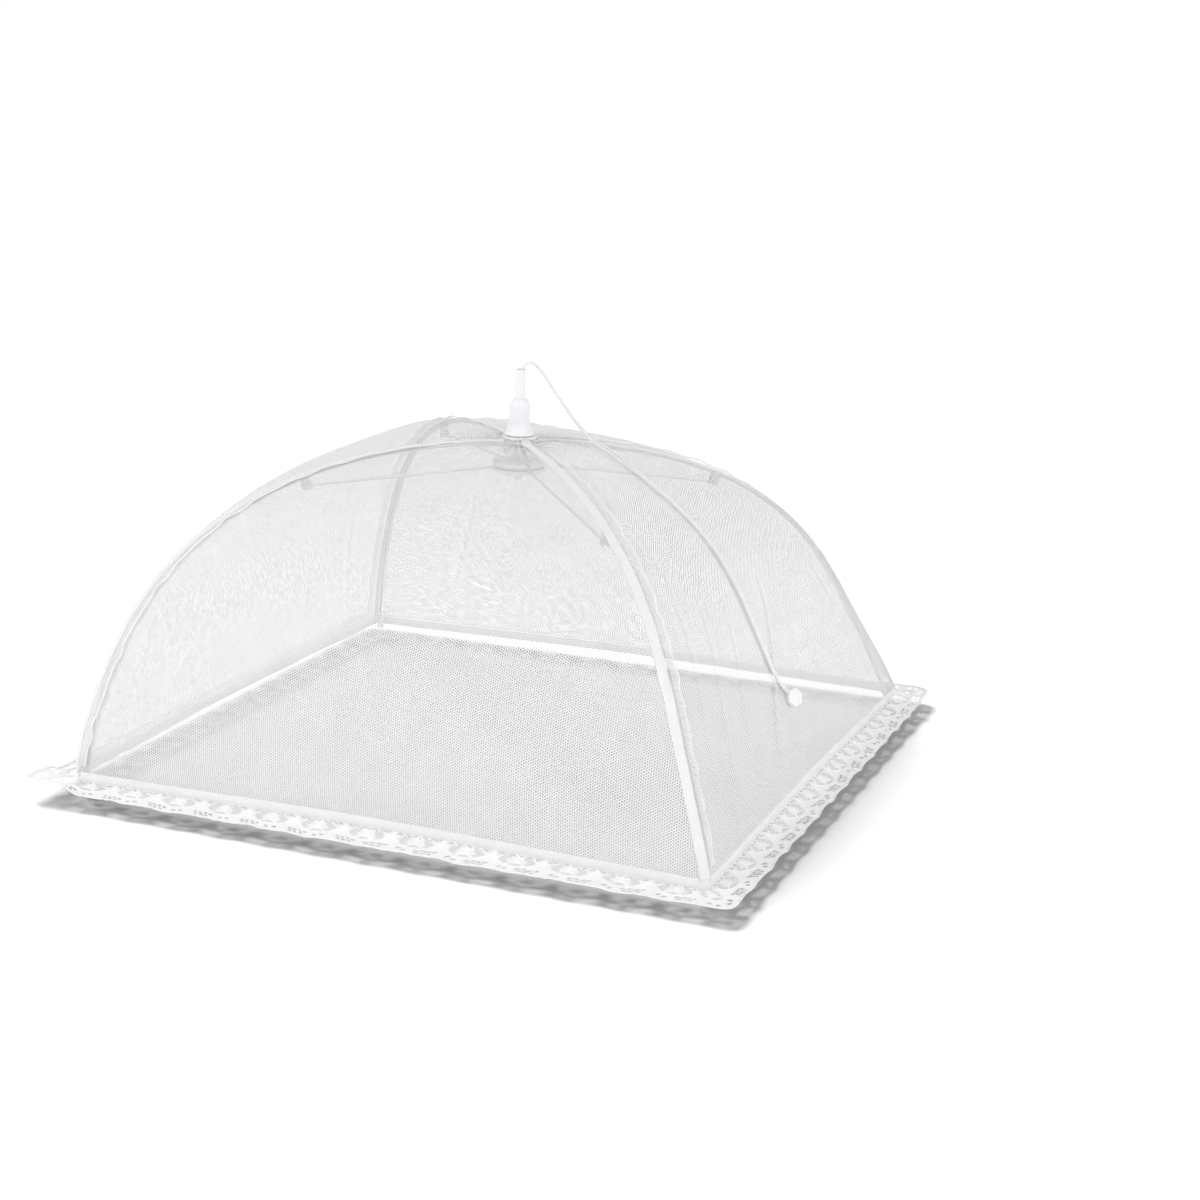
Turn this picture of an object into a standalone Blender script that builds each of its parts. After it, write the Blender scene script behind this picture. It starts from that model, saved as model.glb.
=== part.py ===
"""Pop-up mesh food cover that folds like an umbrella.

Four sprung wire ribs hinge in a notched crown and hold a square mesh canopy open.
Four stretchers run from a bracket on each rib to a notched runner below the crown.
The pull cord comes up from the runner through the handle tube, hangs over its mouth and
lies on the right-hand panel with a tag on its end. A lace border is sewn round the hem.

Metres, +Z up, the table at z = 0, the hub's axis at x = y = 0 and the front facing -Y.
"""

import math

import bmesh
import bpy
from mathutils import Matrix, Vector

# Canopy
BASE_SIDE = 0.430
CLOTH_THICKNESS = 0.0008
PANEL_BELLY = 0.010
BINDING_WIDTH = 0.006
CANOPY_START_RADIUS = 0.013
OPENING_ROWS = 8
OPENING_COLUMNS = 5
OPENING_BAR_SHARE = 0.30
BINDING_ROWS = 22
BELLY_POWER = 4
FLARE_START_SHARE = 0.75
TAPE_HEIGHT = 0.0055
TAPE_THICKNESS = 0.0014

# Lace border
LACE_WIDTH = 0.0235
LACE_THICKNESS = 0.0008
LACE_REPEATS = 13
LACE_SCALLOP = 0.0016
LACE_CORNER_RADIUS = 0.012
LEAF_SHARES = ((0.08, 0.18), (0.42, 0.18), (0.38, 0.42), (0.16, 0.46))
SLOT_SHARES = ((-0.12, 0.70), (0.12, 0.70), (0.10, 0.80), (-0.10, 0.80))

# Ribs
HINGE_RADIUS = 0.008
HINGE_HEIGHT = 0.2055
RIB_WIRE_DIAMETER = 0.0020
WIRE_END_HEIGHT = 0.003
FOOT_INSET = 0.006
RIB_POINTS = 22
FULL_BOW_SHARES = ((0.719, 1.064), (0.972, 0.523))
SLACK_BOW_SHARES = ((0.719, 0.928), (0.804, 0.530))

# Wire eyes, the tie wires and rivets through them, and the slots that hold them
EYE_RADIUS = 0.0020
EYE_THICKNESS = 0.0018
PIN_RADIUS = 0.0007
SLOT_CLEARANCE = 0.0004
SLOT_ROOM = 0.0005
TIE_WIRE_SIDES = 6

# Rib tips
TIP_RADIUS = 0.0024
TIP_LENGTH = 0.009
TIP_ROUND = 0.0008

# Crown and handle
HUB_RADIUS = 0.0105
HUB_THICKNESS = 0.0105
HUB_ROOF = 0.0021
HUB_EDGE = 0.0006
PATCH_RADIUS = 0.017
TUBE_RADIUS = 0.00365
TUBE_MOUTH_RADIUS = 0.0029
TUBE_MOUTH_DEPTH = 0.003
TUBE_LIP_RADIUS = 0.005
TUBE_LIP_HEIGHT = 0.0015
FLARE_RADIUS = 0.010
FLARE_HEIGHT = 0.0064
COLLAR_RADIUS = 0.00735
COLLAR_HEIGHT = 0.0147
SHOULDER_HEIGHT = 0.0035
SHOULDER_RADIUS = 0.0046
HANDLE_TUBE_LENGTH = 0.0195

# Runner and stretchers
RUNNER_DROP = 0.015
RUNNER_PIVOT_RADIUS = 0.015
RUNNER_RADIUS = 0.0178
RUNNER_THICKNESS = 0.0072
RUNNER_SLOT_DEPTH = 0.0085
BRACKET_RADIUS = 0.1475
BRACKET_DROP = 0.006
BRACKET_LENGTH = 0.006
BRACKET_WIDTH = 0.0042
BRACKET_CREST = 0.0007
BRACKET_WEB = 0.0024
STRETCHER_WIRE_DIAMETER = 0.0018
RIVET_HEAD_RADIUS = 0.0016
RIVET_HEAD_THICKNESS = 0.0007

# Pull cord and its tag
CORD_DIAMETER = 0.0026
CORD_STEP = 0.008
KNOT_RADIUS = 0.0030
TAG_RADIUS = 0.0063
TAG_THICKNESS = 0.0030
TAG_EDGE = 0.0005

# How finely round shapes are cut
ROUND_STEPS = 32
TUBE_STEPS = 24
SMALL_STEPS = 16
BEND_ANGLES = tuple(range(0, 91, 15))
SCALLOP_POINTS = 4
ROUTE_STEPS = 16
KNOT_SEGMENTS = 12
KNOT_RINGS = 8
TAG_SIDES = 6

# Gaps between pieces
SEAT_GAP = 0.0003
CLOTH_GAP = 0.00035
SEAM_GAP = 0.0006
HEM_GAP = 0.0005
CUT_OVERRUN = 0.002

# The pull cord's route from the mouth of the handle tube over the right-hand panel
CORD_ROUTE = (
    (0.0000, 0.0000, 0.2500),
    (0.0001, 0.0000, 0.2525),
    (0.0010, 0.0004, 0.2558),
    (0.0031, 0.0013, 0.2588),
    (0.0062, 0.0026, 0.2601),
    (0.0095, 0.0039, 0.2585),
    (0.0128, 0.0052, 0.2546),
    (0.0165, 0.0066, 0.2491),
    (0.0212, 0.0084, 0.2415),
    (0.0277, 0.0108, 0.2316),
    (0.0355, 0.0134, 0.2208),
    (0.0436, 0.0146, 0.2122),
    (0.0525, 0.0128, 0.2071),
    (0.0640, 0.0064, 0.2041),
    (0.0760, -0.0026, 0.2008),
    (0.0903, -0.0130, 0.1967),
    (0.1067, -0.0225, 0.1903),
    (0.1241, -0.0285, 0.1806),
    (0.1400, -0.0325, 0.1687),
    (0.1525, -0.0352, 0.1568),
    (0.1643, -0.0378, 0.1420),
    (0.1745, -0.0392, 0.1255),
    (0.1822, -0.0385, 0.1098),
    (0.1882, -0.0355, 0.0952),
    (0.1932, -0.0300, 0.0806),
)
TAG_CENTRE = (0.2008, -0.0137, 0.0596)
TAG_FACING = (0.94, 0.0, 0.34)

# What follows from the sizes above
HALF_SIDE = BASE_SIDE / 2
WIRE_RADIUS = RIB_WIRE_DIAMETER / 2
BINDING_HALF = BINDING_WIDTH / 2
CORNER_REACH = HALF_SIDE * math.sqrt(2) - BINDING_HALF
TAPE_BEND = BINDING_HALF / (math.sqrt(2) - 1)
FOOT_RADIUS = CORNER_REACH - FOOT_INSET
CLOTH_OFFSET = WIRE_RADIUS + CLOTH_GAP + CLOTH_THICKNESS / 2
LACE_TOP = SEAT_GAP + LACE_THICKNESS
TAPE_BOTTOM = LACE_TOP + SEAT_GAP
HEM_HEIGHT = TAPE_BOTTOM + TAPE_HEIGHT + HEM_GAP
PIN_HOLE_RADIUS = PIN_RADIUS + SEAT_GAP
SLOT_WIDTH = EYE_THICKNESS + 2 * SLOT_CLEARANCE
HUB_TOP = HINGE_HEIGHT + EYE_RADIUS + SLOT_CLEARANCE + HUB_ROOF
HUB_BOTTOM = HUB_TOP - HUB_THICKNESS
HUB_SLOT_START = HINGE_RADIUS - EYE_RADIUS - SLOT_ROOM
PATCH_BOTTOM = HUB_TOP + SEAT_GAP
PATCH_TOP = PATCH_BOTTOM + CLOTH_THICKNESS
FERRULE_BOTTOM = PATCH_TOP + SEAT_GAP
FLARE_TOP = FERRULE_BOTTOM + FLARE_HEIGHT
COLLAR_TOP = FLARE_TOP + COLLAR_HEIGHT
SHOULDER_TOP = COLLAR_TOP + SHOULDER_HEIGHT
TUBE_TOP = SHOULDER_TOP + HANDLE_TUBE_LENGTH
TUBE_LIP_TOP = HUB_BOTTOM - SEAT_GAP
TUBE_BOTTOM = TUBE_LIP_TOP - TUBE_LIP_HEIGHT
CORD_RADIUS = CORD_DIAMETER / 2
CORD_BORE = CORD_RADIUS + 2 * SEAT_GAP
RUNNER_HEIGHT = HINGE_HEIGHT - RUNNER_DROP
RUNNER_TOP = RUNNER_HEIGHT + RUNNER_THICKNESS / 2
RUNNER_BOTTOM = RUNNER_HEIGHT - RUNNER_THICKNESS / 2
RUNNER_SLOT_START = RUNNER_PIVOT_RADIUS - RUNNER_SLOT_DEPTH
STRETCHER_LENGTH = BRACKET_RADIUS - RUNNER_PIVOT_RADIUS
BRACKET_SLOT_TOP = EYE_RADIUS + SLOT_CLEARANCE - BRACKET_DROP

# Corner name, bearing in degrees, and how far the cloth has drawn that rib
CORNERS = (
    ("front_left", 225, FULL_BOW_SHARES),
    ("front_right", 315, SLACK_BOW_SHARES),
    ("back_right", 45, SLACK_BOW_SHARES),
    ("back_left", 135, FULL_BOW_SHARES),
)

# Panel name and the names of its two halves, in the order of the corners
PANELS = (
    ("front", "left", "right"),
    ("right", "front", "back"),
    ("back", "right", "left"),
    ("left", "back", "front"),
)

WHITE_CLOTH = ((0.90, 0.90, 0.91), 0.85, 0.0)
WHITE_TAPE = ((0.93, 0.93, 0.94), 0.75, 0.0)
WHITE_PLASTIC = ((0.92, 0.92, 0.92), 0.40, 0.0)
PALE_STEEL = ((0.72, 0.73, 0.74), 0.35, 1.0)

model = None
cutters = None


def start_scene():
    global model, cutters
    for old in list(bpy.data.objects):
        bpy.data.objects.remove(old, do_unlink=True)
    model = bpy.data.collections.new("mesh_food_cover")
    cutters = bpy.data.collections.new("cutters")
    bpy.context.scene.collection.children.link(model)
    bpy.context.scene.collection.children.link(cutters)


def finish(name, look):
    colour, roughness, metallic = look
    material = bpy.data.materials.new(name)
    material.use_nodes = True
    shader = material.node_tree.nodes["Principled BSDF"]
    shader.inputs["Base Color"].default_value = (*colour, 1.0)
    shader.inputs["Roughness"].default_value = roughness
    shader.inputs["Metallic"].default_value = metallic
    return material


def place(name, data, look, parent=None, local=None):
    """A named piece of the model, under its hinge where it moves."""
    piece = bpy.data.objects.new(name, data)
    model.objects.link(piece)
    piece.parent = parent
    if local is not None:
        piece.matrix_local = local
    data.materials.append(finish(name, look))
    return piece


def cutter(name, data, parent=None, local=None):
    tool = bpy.data.objects.new(name, data)
    cutters.objects.link(tool)
    tool.parent = parent
    if local is not None:
        tool.matrix_local = local
    tool.hide_render = True
    tool.display_type = "WIRE"
    return tool


def combine(piece, tool, operation="DIFFERENCE"):
    step = piece.modifiers.new(tool.name, "BOOLEAN")
    step.operation = operation
    step.solver = "EXACT"
    step.object = tool


def hinge_empty(name, place_matrix):
    empty = bpy.data.objects.new(name, None)
    model.objects.link(empty)
    empty.matrix_world = place_matrix
    return empty


def mesh_from(name, build):
    mesh = bpy.data.meshes.new(name)
    shape = bmesh.new()
    build(shape)
    shape.to_mesh(mesh)
    shape.free()
    return mesh


def box_mesh(name, low, high):
    def build(shape):
        bmesh.ops.create_cube(shape, size=1)
        size = [b - a for a, b in zip(low, high)]
        middle = [(a + b) / 2 for a, b in zip(low, high)]
        bmesh.ops.scale(shape, vec=size, verts=shape.verts)
        bmesh.ops.translate(shape, vec=middle, verts=shape.verts)

    return mesh_from(name, build)


def rod_mesh(name, radius, length, along, middles=((0, 0, 0),), sides=SMALL_STEPS):
    """Straight round rods, each centred on a point, lying along a direction."""
    turn = Vector((0, 0, 1)).rotation_difference(Vector(along)).to_matrix().to_4x4()

    def build(shape):
        for middle in middles:
            bmesh.ops.create_cone(
                shape,
                cap_ends=True,
                segments=sides,
                radius1=radius,
                radius2=radius,
                depth=length,
                matrix=Matrix.Translation(middle) @ turn,
            )

    return mesh_from(name, build)


def profile_mesh(name, points, closed):
    """A profile in the XZ plane, ready for a Screw modifier."""
    edges = [(i, i + 1) for i in range(len(points) - 1)]
    if closed:
        edges.append((len(points) - 1, 0))
    mesh = bpy.data.meshes.new(name)
    mesh.from_pydata([(radius, 0, height) for radius, height in points], edges, [])
    return mesh


def turn_profile(piece, steps):
    screw = piece.modifiers.new("turned", "SCREW")
    screw.steps = steps
    screw.render_steps = steps
    screw.use_merge_vertices = True
    screw.merge_threshold = 0.00001
    return screw


def turned_piece(
    name, points, look, closed=True, steps=ROUND_STEPS, parent=None, local=None
):
    """A turned shape: its profile runs down the outer side and back up the bore."""
    piece = place(name, profile_mesh(name, points, closed), look, parent, local)
    turn_profile(piece, steps)
    return piece


def tube_curve(name, points, radius, resolution=2):
    curve = bpy.data.curves.new(name, "CURVE")
    curve.dimensions = "3D"
    curve.bevel_depth = radius
    curve.bevel_resolution = resolution
    curve.use_fill_caps = True
    spline = curve.splines.new("POLY")
    spline.points.add(len(points) - 1)
    for knot, point in zip(spline.points, points):
        knot.co = (*point, 1)
    return curve


def tube_mesh(name, points, radius, resolution=2):
    """A wire as a closed mesh, so that an eye can be joined to it."""
    holder = bpy.data.objects.new(name, tube_curve(name, points, radius, resolution))
    model.objects.link(holder)
    bpy.context.view_layer.update()
    evaluated = holder.evaluated_get(bpy.context.evaluated_depsgraph_get())
    mesh = bpy.data.meshes.new_from_object(evaluated)
    bpy.data.objects.remove(holder)
    shape = bmesh.new()
    shape.from_mesh(mesh)
    bmesh.ops.remove_doubles(shape, verts=shape.verts, dist=radius / 1000)
    shape.to_mesh(mesh)
    shape.free()
    return mesh


def sheet_mesh(name, rows, openwork=False):
    """An open curved surface through rows of points, for Solidify to thicken.

    Openwork leaves out each second patch of each second row.
    """
    width = len(rows[0])
    points = [point for row in rows for point in row]
    faces = []
    for i in range(len(rows) - 1):
        for j in range(width - 1):
            if openwork and i % 2 and j % 2:
                continue
            k = i * width + j
            faces.append((k, k + width, k + width + 1, k + 1))
    mesh = bpy.data.meshes.new(name)
    mesh.from_pydata(points, [], faces)
    return mesh


def thicken(piece, thickness):
    wall = piece.modifiers.new("cloth", "SOLIDIFY")
    wall.thickness = thickness
    wall.offset = 0


def flat_curve(name, loops, thickness):
    """A flat cut-out: the first loop is the outline and the others are openings."""
    curve = bpy.data.curves.new(name, "CURVE")
    curve.dimensions = "2D"
    curve.fill_mode = "BOTH"
    curve.extrude = thickness / 2
    for loop in loops:
        spline = curve.splines.new("POLY")
        spline.points.add(len(loop) - 1)
        for knot, (x, y) in zip(spline.points, loop):
            knot.co = (x, y, 0, 1)
        spline.use_cyclic_u = True
    return curve


def corner_matrix(bearing):
    """The frame of a rib's hinge: X outwards, Y along the hinge pin, Z up."""
    turn = Matrix.Rotation(math.radians(bearing), 4, "Z")
    return turn @ Matrix.Translation((HINGE_RADIUS, 0, HINGE_HEIGHT))


def wire_point(bow, t):
    """A rib's centreline as radius and height: one smooth bow from hinge to foot."""
    reach = FOOT_RADIUS - HINGE_RADIUS
    rise = HINGE_HEIGHT - WIRE_END_HEIGHT
    knots = [(HINGE_RADIUS, HINGE_HEIGHT)]
    for out, up in bow:
        knots.append((HINGE_RADIUS + out * reach, WIRE_END_HEIGHT + up * rise))
    knots.append((FOOT_RADIUS, WIRE_END_HEIGHT))
    weights = ((1 - t) ** 3, 3 * (1 - t) ** 2 * t, 3 * (1 - t) * t**2, t**3)
    return Vector([sum(w * k[i] for w, k in zip(weights, knots)) for i in (0, 1)])


def wire_direction(bow, t):
    step = 1 / 10000
    return (wire_point(bow, t + step) - wire_point(bow, t - step)).normalized()


def solve(value_at, target):
    """The share along a rib where a falling value reaches its target."""
    low, high = 0.0, 1.0
    for _ in range(50):
        middle = (low + high) / 2
        if value_at(middle) > target:
            low = middle
        else:
            high = middle
    return (low + high) / 2


def cloth_over_wire(bow, t):
    direction = wire_direction(bow, t)
    return wire_point(bow, t) + CLOTH_OFFSET * Vector((-direction.y, direction.x))


def cloth_span(bow):
    """Where on the rib the cloth starts and ends, and its flare out to the hem."""
    start = solve(lambda t: -cloth_over_wire(bow, t).x, -CANOPY_START_RADIUS)
    end = solve(lambda t: cloth_over_wire(bow, t).y, HEM_HEIGHT)
    return start, end, CORNER_REACH - cloth_over_wire(bow, end).x


def cloth_line(bow, share):
    """The cloth's line over a rib, from the crown at 0 to the hem at 1."""
    start, end, flare = cloth_span(bow)
    point = cloth_over_wire(bow, start + (end - start) * share)
    late = max(0.0, (share - FLARE_START_SHARE) / (1 - FLARE_START_SHARE))
    point.x += flare * late * late * (3 - 2 * late)
    return point


def cloth_point(corner, share, sideways):
    """A point of the cloth beside a rib, in the model's frame."""
    _, bearing, bow = corner
    out, height = cloth_line(bow, share)
    turn = Matrix.Rotation(math.radians(bearing), 3, "Z")
    return turn @ Vector((out, sideways, height))


def panel_point(first, second, share, across):
    """The canopy between two ribs: a straight span that bellies outwards."""
    edge = BINDING_HALF + SEAM_GAP
    nudge = 1 / 200

    def span(at):
        a = cloth_point(first, at, edge)
        b = cloth_point(second, at, -edge)
        return a, b

    a, b = span(share)
    above = span(max(0.0, share - nudge))
    below = span(min(1.0, share + nudge))
    down = (below[0] + below[1]) - (above[0] + above[1])
    outward = (b - a).cross(down).normalized()
    if outward.dot(a + b) < 0:
        outward.negate()
    fullness = 1 - abs(2 * across - 1) ** BELLY_POWER
    belly = PANEL_BELLY * math.sin(math.pi * share) * fullness
    return a.lerp(b, across) + outward * belly


def grid_lines(openings):
    """Shares of a length where bars and openings meet, with a bar at both ends."""
    bar = OPENING_BAR_SHARE / (1 - OPENING_BAR_SHARE)
    opening = 1 / (openings + (openings + 1) * bar)
    pitch = opening * (1 + bar)
    return [k * pitch + edge for k in range(openings + 1) for edge in (0, opening * bar)]


def add_panel_half(name, first, second, near_first, hinge):
    """Half of a mesh panel, from a rib's binding to the middle of the panel.

    A plain grid of openings stands for the mesh.
    """
    width = (cloth_point(first, 1, 0) - cloth_point(second, 1, 0)).length
    stop = 0.5 - SEAT_GAP / 2 / width
    to_local = hinge.matrix_world.inverted()
    rows = []
    for share in grid_lines(OPENING_ROWS):
        row = []
        for line in grid_lines(OPENING_COLUMNS):
            across = stop * line
            if not near_first:
                across = 1 - across
            row.append(to_local @ panel_point(first, second, share, across))
        rows.append(row)
    mesh = sheet_mesh(name, rows, openwork=True)
    panel = place(name, mesh, WHITE_CLOTH, hinge, Matrix())
    thicken(panel, CLOTH_THICKNESS)


def eye_tool(name, hinge, middle):
    """A turned ring on the end of a wire, for a pin to pass through."""
    half = EYE_THICKNESS / 2
    ring = (
        (EYE_RADIUS, half),
        (EYE_RADIUS, -half),
        (PIN_HOLE_RADIUS, -half),
        (PIN_HOLE_RADIUS, half),
    )
    lie = Matrix.Translation(middle) @ Matrix.Rotation(math.pi / 2, 4, "X")
    tool = cutter(name, profile_mesh(name, ring, True), hinge, lie)
    turn_profile(tool, SMALL_STEPS)
    return tool


def add_rib(corner, hinge):
    name, _, bow = corner
    start = solve(
        lambda t: -(wire_point(bow, t) - wire_point(bow, 0)).length,
        -(PIN_HOLE_RADIUS + EYE_RADIUS) / 2,
    )
    points = []
    for i in range(RIB_POINTS):
        t = start + (1 - start) * i / (RIB_POINTS - 1)
        out, height = wire_point(bow, t)
        points.append((out - HINGE_RADIUS, 0, height - HINGE_HEIGHT))
    mesh = tube_mesh(f"rib_{name}", points, WIRE_RADIUS)
    rib = place(f"rib_{name}", mesh, PALE_STEEL, hinge, Matrix())
    combine(rib, eye_tool(f"rib_eye_{name}", hinge, (0, 0, 0)), "UNION")


def add_binding(corner, hinge):
    name, _, bow = corner
    rows = []
    for i in range(BINDING_ROWS):
        share = i / (BINDING_ROWS - 1)
        out, height = cloth_line(bow, share)
        row = [
            (out - HINGE_RADIUS, side * BINDING_HALF, height - HINGE_HEIGHT)
            for side in (1, -1)
        ]
        rows.append(row)
    mesh = sheet_mesh(f"rib_binding_{name}", rows)
    strip = place(f"rib_binding_{name}", mesh, WHITE_TAPE, hinge, Matrix())
    thicken(strip, CLOTH_THICKNESS)


def along_wire(corner, t):
    """The frame of a piece on a rib: X along the wire, Z away from the axis."""
    _, _, bow = corner
    out, height = wire_point(bow, t)
    run, drop = wire_direction(bow, t)
    tilt = Matrix.Rotation(math.atan2(-drop, run), 4, "Y")
    return Matrix.Translation((out - HINGE_RADIUS, 0, height - HINGE_HEIGHT)) @ tilt


def add_tip(corner, hinge):
    """The plastic cap on a rib's foot, cut flat where it stands on the table."""
    name, _, _ = corner
    reach = TIP_RADIUS + WIRE_END_HEIGHT
    shoulder = TIP_RADIUS - TIP_ROUND
    bore = WIRE_RADIUS + SEAT_GAP
    points = (
        (bore, TIP_LENGTH),
        (shoulder, TIP_LENGTH),
        (TIP_RADIUS, TIP_LENGTH - TIP_ROUND),
        (TIP_RADIUS, -reach),
        (0, -reach),
        (0, -SEAT_GAP),
        (bore, -SEAT_GAP),
    )
    upright = Matrix.Rotation(-math.pi / 2, 4, "Y")
    lie = along_wire(corner, 1) @ upright
    mesh = profile_mesh(f"rib_tip_{name}", points, True)
    tip = place(f"rib_tip_{name}", mesh, WHITE_PLASTIC, hinge, lie)
    turn_profile(tip, SMALL_STEPS)
    side = TIP_LENGTH + reach
    foot = FOOT_RADIUS - HINGE_RADIUS
    low = (foot - side, -side, -HINGE_HEIGHT - side)
    table = box_mesh(f"table_{name}", low, (foot + side, side, -HINGE_HEIGHT))
    combine(tip, cutter(f"table_{name}", table, hinge, Matrix()))


def bracket_share(bow):
    """Where on the rib the bracket sits, so that equal stretchers reach it."""

    def pivot_reach(t):
        return -(pivot_point(bow, t) - runner_pivot()).length

    return solve(pivot_reach, -STRETCHER_LENGTH)


def pivot_point(bow, t):
    """The rivet's centre under the wire, as radius and height."""
    direction = wire_direction(bow, t)
    return wire_point(bow, t) + BRACKET_DROP * Vector((direction.y, -direction.x))


def runner_pivot():
    return Vector((RUNNER_PIVOT_RADIUS, RUNNER_HEIGHT))


def add_bracket(corner, hinge):
    """A clip crimped over the wire, with a fork for the stretcher's eye."""
    name, _, bow = corner
    frame = along_wire(corner, bracket_share(bow))
    half = BRACKET_LENGTH / 2
    cheek = BRACKET_WIDTH / 2
    bottom = -(BRACKET_DROP + BRACKET_WEB)
    body = box_mesh(
        f"rib_bracket_{name}", (-half, -cheek, bottom), (half, cheek, BRACKET_CREST)
    )
    bracket = place(f"rib_bracket_{name}", body, PALE_STEEL, hinge, frame)
    long = BRACKET_LENGTH + 2 * CUT_OVERRUN
    groove = rod_mesh(f"groove_{name}", WIRE_RADIUS + SEAT_GAP, long, (1, 0, 0))
    combine(bracket, cutter(f"groove_{name}", groove, hinge, frame))
    fork = box_mesh(
        f"fork_{name}",
        (-long / 2, -SLOT_WIDTH / 2, bottom - CUT_OVERRUN),
        (long / 2, SLOT_WIDTH / 2, BRACKET_SLOT_TOP),
    )
    combine(bracket, cutter(f"fork_{name}", fork, hinge, frame))
    wide = BRACKET_WIDTH + 2 * CUT_OVERRUN
    hole = rod_mesh(
        f"rivet_hole_{name}", PIN_HOLE_RADIUS, wide, (0, 1, 0), ((0, 0, -BRACKET_DROP),)
    )
    combine(bracket, cutter(f"rivet_hole_{name}", hole, hinge, frame))

    seat = cheek + SEAT_GAP
    outer = seat + RIVET_HEAD_THICKNESS
    profile = (
        (0, outer),
        (RIVET_HEAD_RADIUS, outer),
        (RIVET_HEAD_RADIUS, seat),
        (PIN_RADIUS, seat),
        (PIN_RADIUS, -seat),
        (RIVET_HEAD_RADIUS, -seat),
        (RIVET_HEAD_RADIUS, -outer),
        (0, -outer),
    )
    lie = Matrix.Translation((0, 0, -BRACKET_DROP)) @ Matrix.Rotation(math.pi / 2, 4, "X")
    turned_piece(
        f"bracket_rivet_{name}",
        profile,
        PALE_STEEL,
        closed=False,
        steps=SMALL_STEPS,
        parent=hinge,
        local=frame @ lie,
    )


def add_stretcher(corner):
    """A straight wire with an eye at each end, from the rivet to the runner."""
    name, bearing, bow = corner
    rivet = pivot_point(bow, bracket_share(bow))
    inner = runner_pivot()
    turn = Matrix.Rotation(math.radians(bearing), 4, "Z")
    run = inner - rivet
    tilt = Matrix.Rotation(math.atan2(-run.y, run.x), 4, "Y")
    at = turn @ Matrix.Translation((rivet.x, 0, rivet.y)) @ tilt
    pivot = hinge_empty(f"stretcher_hinge_{name}", at)
    bpy.context.view_layer.update()
    start = (PIN_HOLE_RADIUS + EYE_RADIUS) / 2
    points = [(start, 0, 0), (run.length - start, 0, 0)]
    mesh = tube_mesh(f"stretcher_{name}", points, STRETCHER_WIRE_DIAMETER / 2)
    rod = place(f"stretcher_{name}", mesh, PALE_STEEL, pivot, Matrix())
    combine(rod, eye_tool(f"outer_eye_{name}", pivot, (0, 0, 0)), "UNION")
    combine(rod, eye_tool(f"inner_eye_{name}", pivot, (run.length, 0, 0)), "UNION")


def bend_points(centre, radius, angles):
    """Points round a corner that lies on the diagonal."""
    turns = [math.radians(angle) for angle in angles]
    return [(centre + radius * math.cos(a), centre + radius * math.sin(a)) for a in turns]


def tape_loop():
    """The hem tape's outline round one corner, from mid-side to mid-side."""
    middle = HALF_SIDE - TAPE_BEND
    ends = SEAT_GAP / 2
    loop = []
    for offset, angles in ((1, BEND_ANGLES), (-1, BEND_ANGLES[::-1])):
        radius = TAPE_BEND + offset * TAPE_THICKNESS / 2
        line = middle + radius
        arc = bend_points(middle, radius, angles)
        run = [(line, ends), *arc, (ends, line)]
        if offset < 0:
            run = [(ends, line), *arc, (line, ends)]
        loop.extend(run)
    return loop


def lace_outline():
    """The lace's edge: scallops along both sides, a lobe round the corner."""
    repeat = BASE_SIDE / LACE_REPEATS
    steps = SCALLOP_POINTS * LACE_REPEATS // 2
    ends = SEAT_GAP / 2
    side = []
    for i in range(1, steps):
        along = repeat * i / SCALLOP_POINTS
        out = LACE_WIDTH - LACE_SCALLOP * abs(math.cos(math.pi * along / repeat))
        side.append((HALF_SIDE + out, HALF_SIDE - along))
    last = (HALF_SIDE + LACE_WIDTH, ends)
    first_side = [last, *reversed(side)]
    centre = HALF_SIDE + LACE_WIDTH - LACE_CORNER_RADIUS
    lobe = bend_points(centre, LACE_CORNER_RADIUS, BEND_ANGLES)
    second_side = [(y, x) for x, y in reversed(first_side)]
    inner = tape_loop()[len(BEND_ANGLES) + 2 :]
    return [*first_side, *lobe, *second_side, *inner]


def lace_openings():
    """Two leaves in each repeat beside the hem, and slots near the outer edge."""
    repeat = BASE_SIDE / LACE_REPEATS
    loops = []

    def add(shares, start, mirrored):
        side = []
        for along, out in shares:
            step = (1 - along if mirrored else along) * repeat
            side.append((HALF_SIDE + out * LACE_WIDTH, HALF_SIDE - start - step))
        loops.append(side)
        loops.append([(y, x) for x, y in side])

    whole = LACE_REPEATS // 2
    for i in range(whole + 1):
        add(LEAF_SHARES, i * repeat, False)
        if i < whole:
            add(LEAF_SHARES, i * repeat, True)
            add(SLOT_SHARES, (i + 1) * repeat, False)
            add(SLOT_SHARES, i * repeat + repeat / 2, False)
    return loops


def add_hem(corner, hinge):
    name, _, _ = corner

    def level(bottom, thickness):
        height = bottom + thickness / 2 - HINGE_HEIGHT
        turn = Matrix.Rotation(-math.pi / 4, 4, "Z")
        return Matrix.Translation((-HINGE_RADIUS, 0, height)) @ turn

    tape = flat_curve(f"hem_tape_{name}", [tape_loop()], TAPE_HEIGHT)
    at = level(TAPE_BOTTOM, TAPE_HEIGHT)
    place(f"hem_tape_{name}", tape, WHITE_TAPE, hinge, at)
    loops = [lace_outline(), *lace_openings()]
    lace = flat_curve(f"lace_{name}", loops, LACE_THICKNESS)
    at = level(SEAT_GAP, LACE_THICKNESS)
    place(f"lace_{name}", lace, WHITE_CLOTH, hinge, at)


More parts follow.
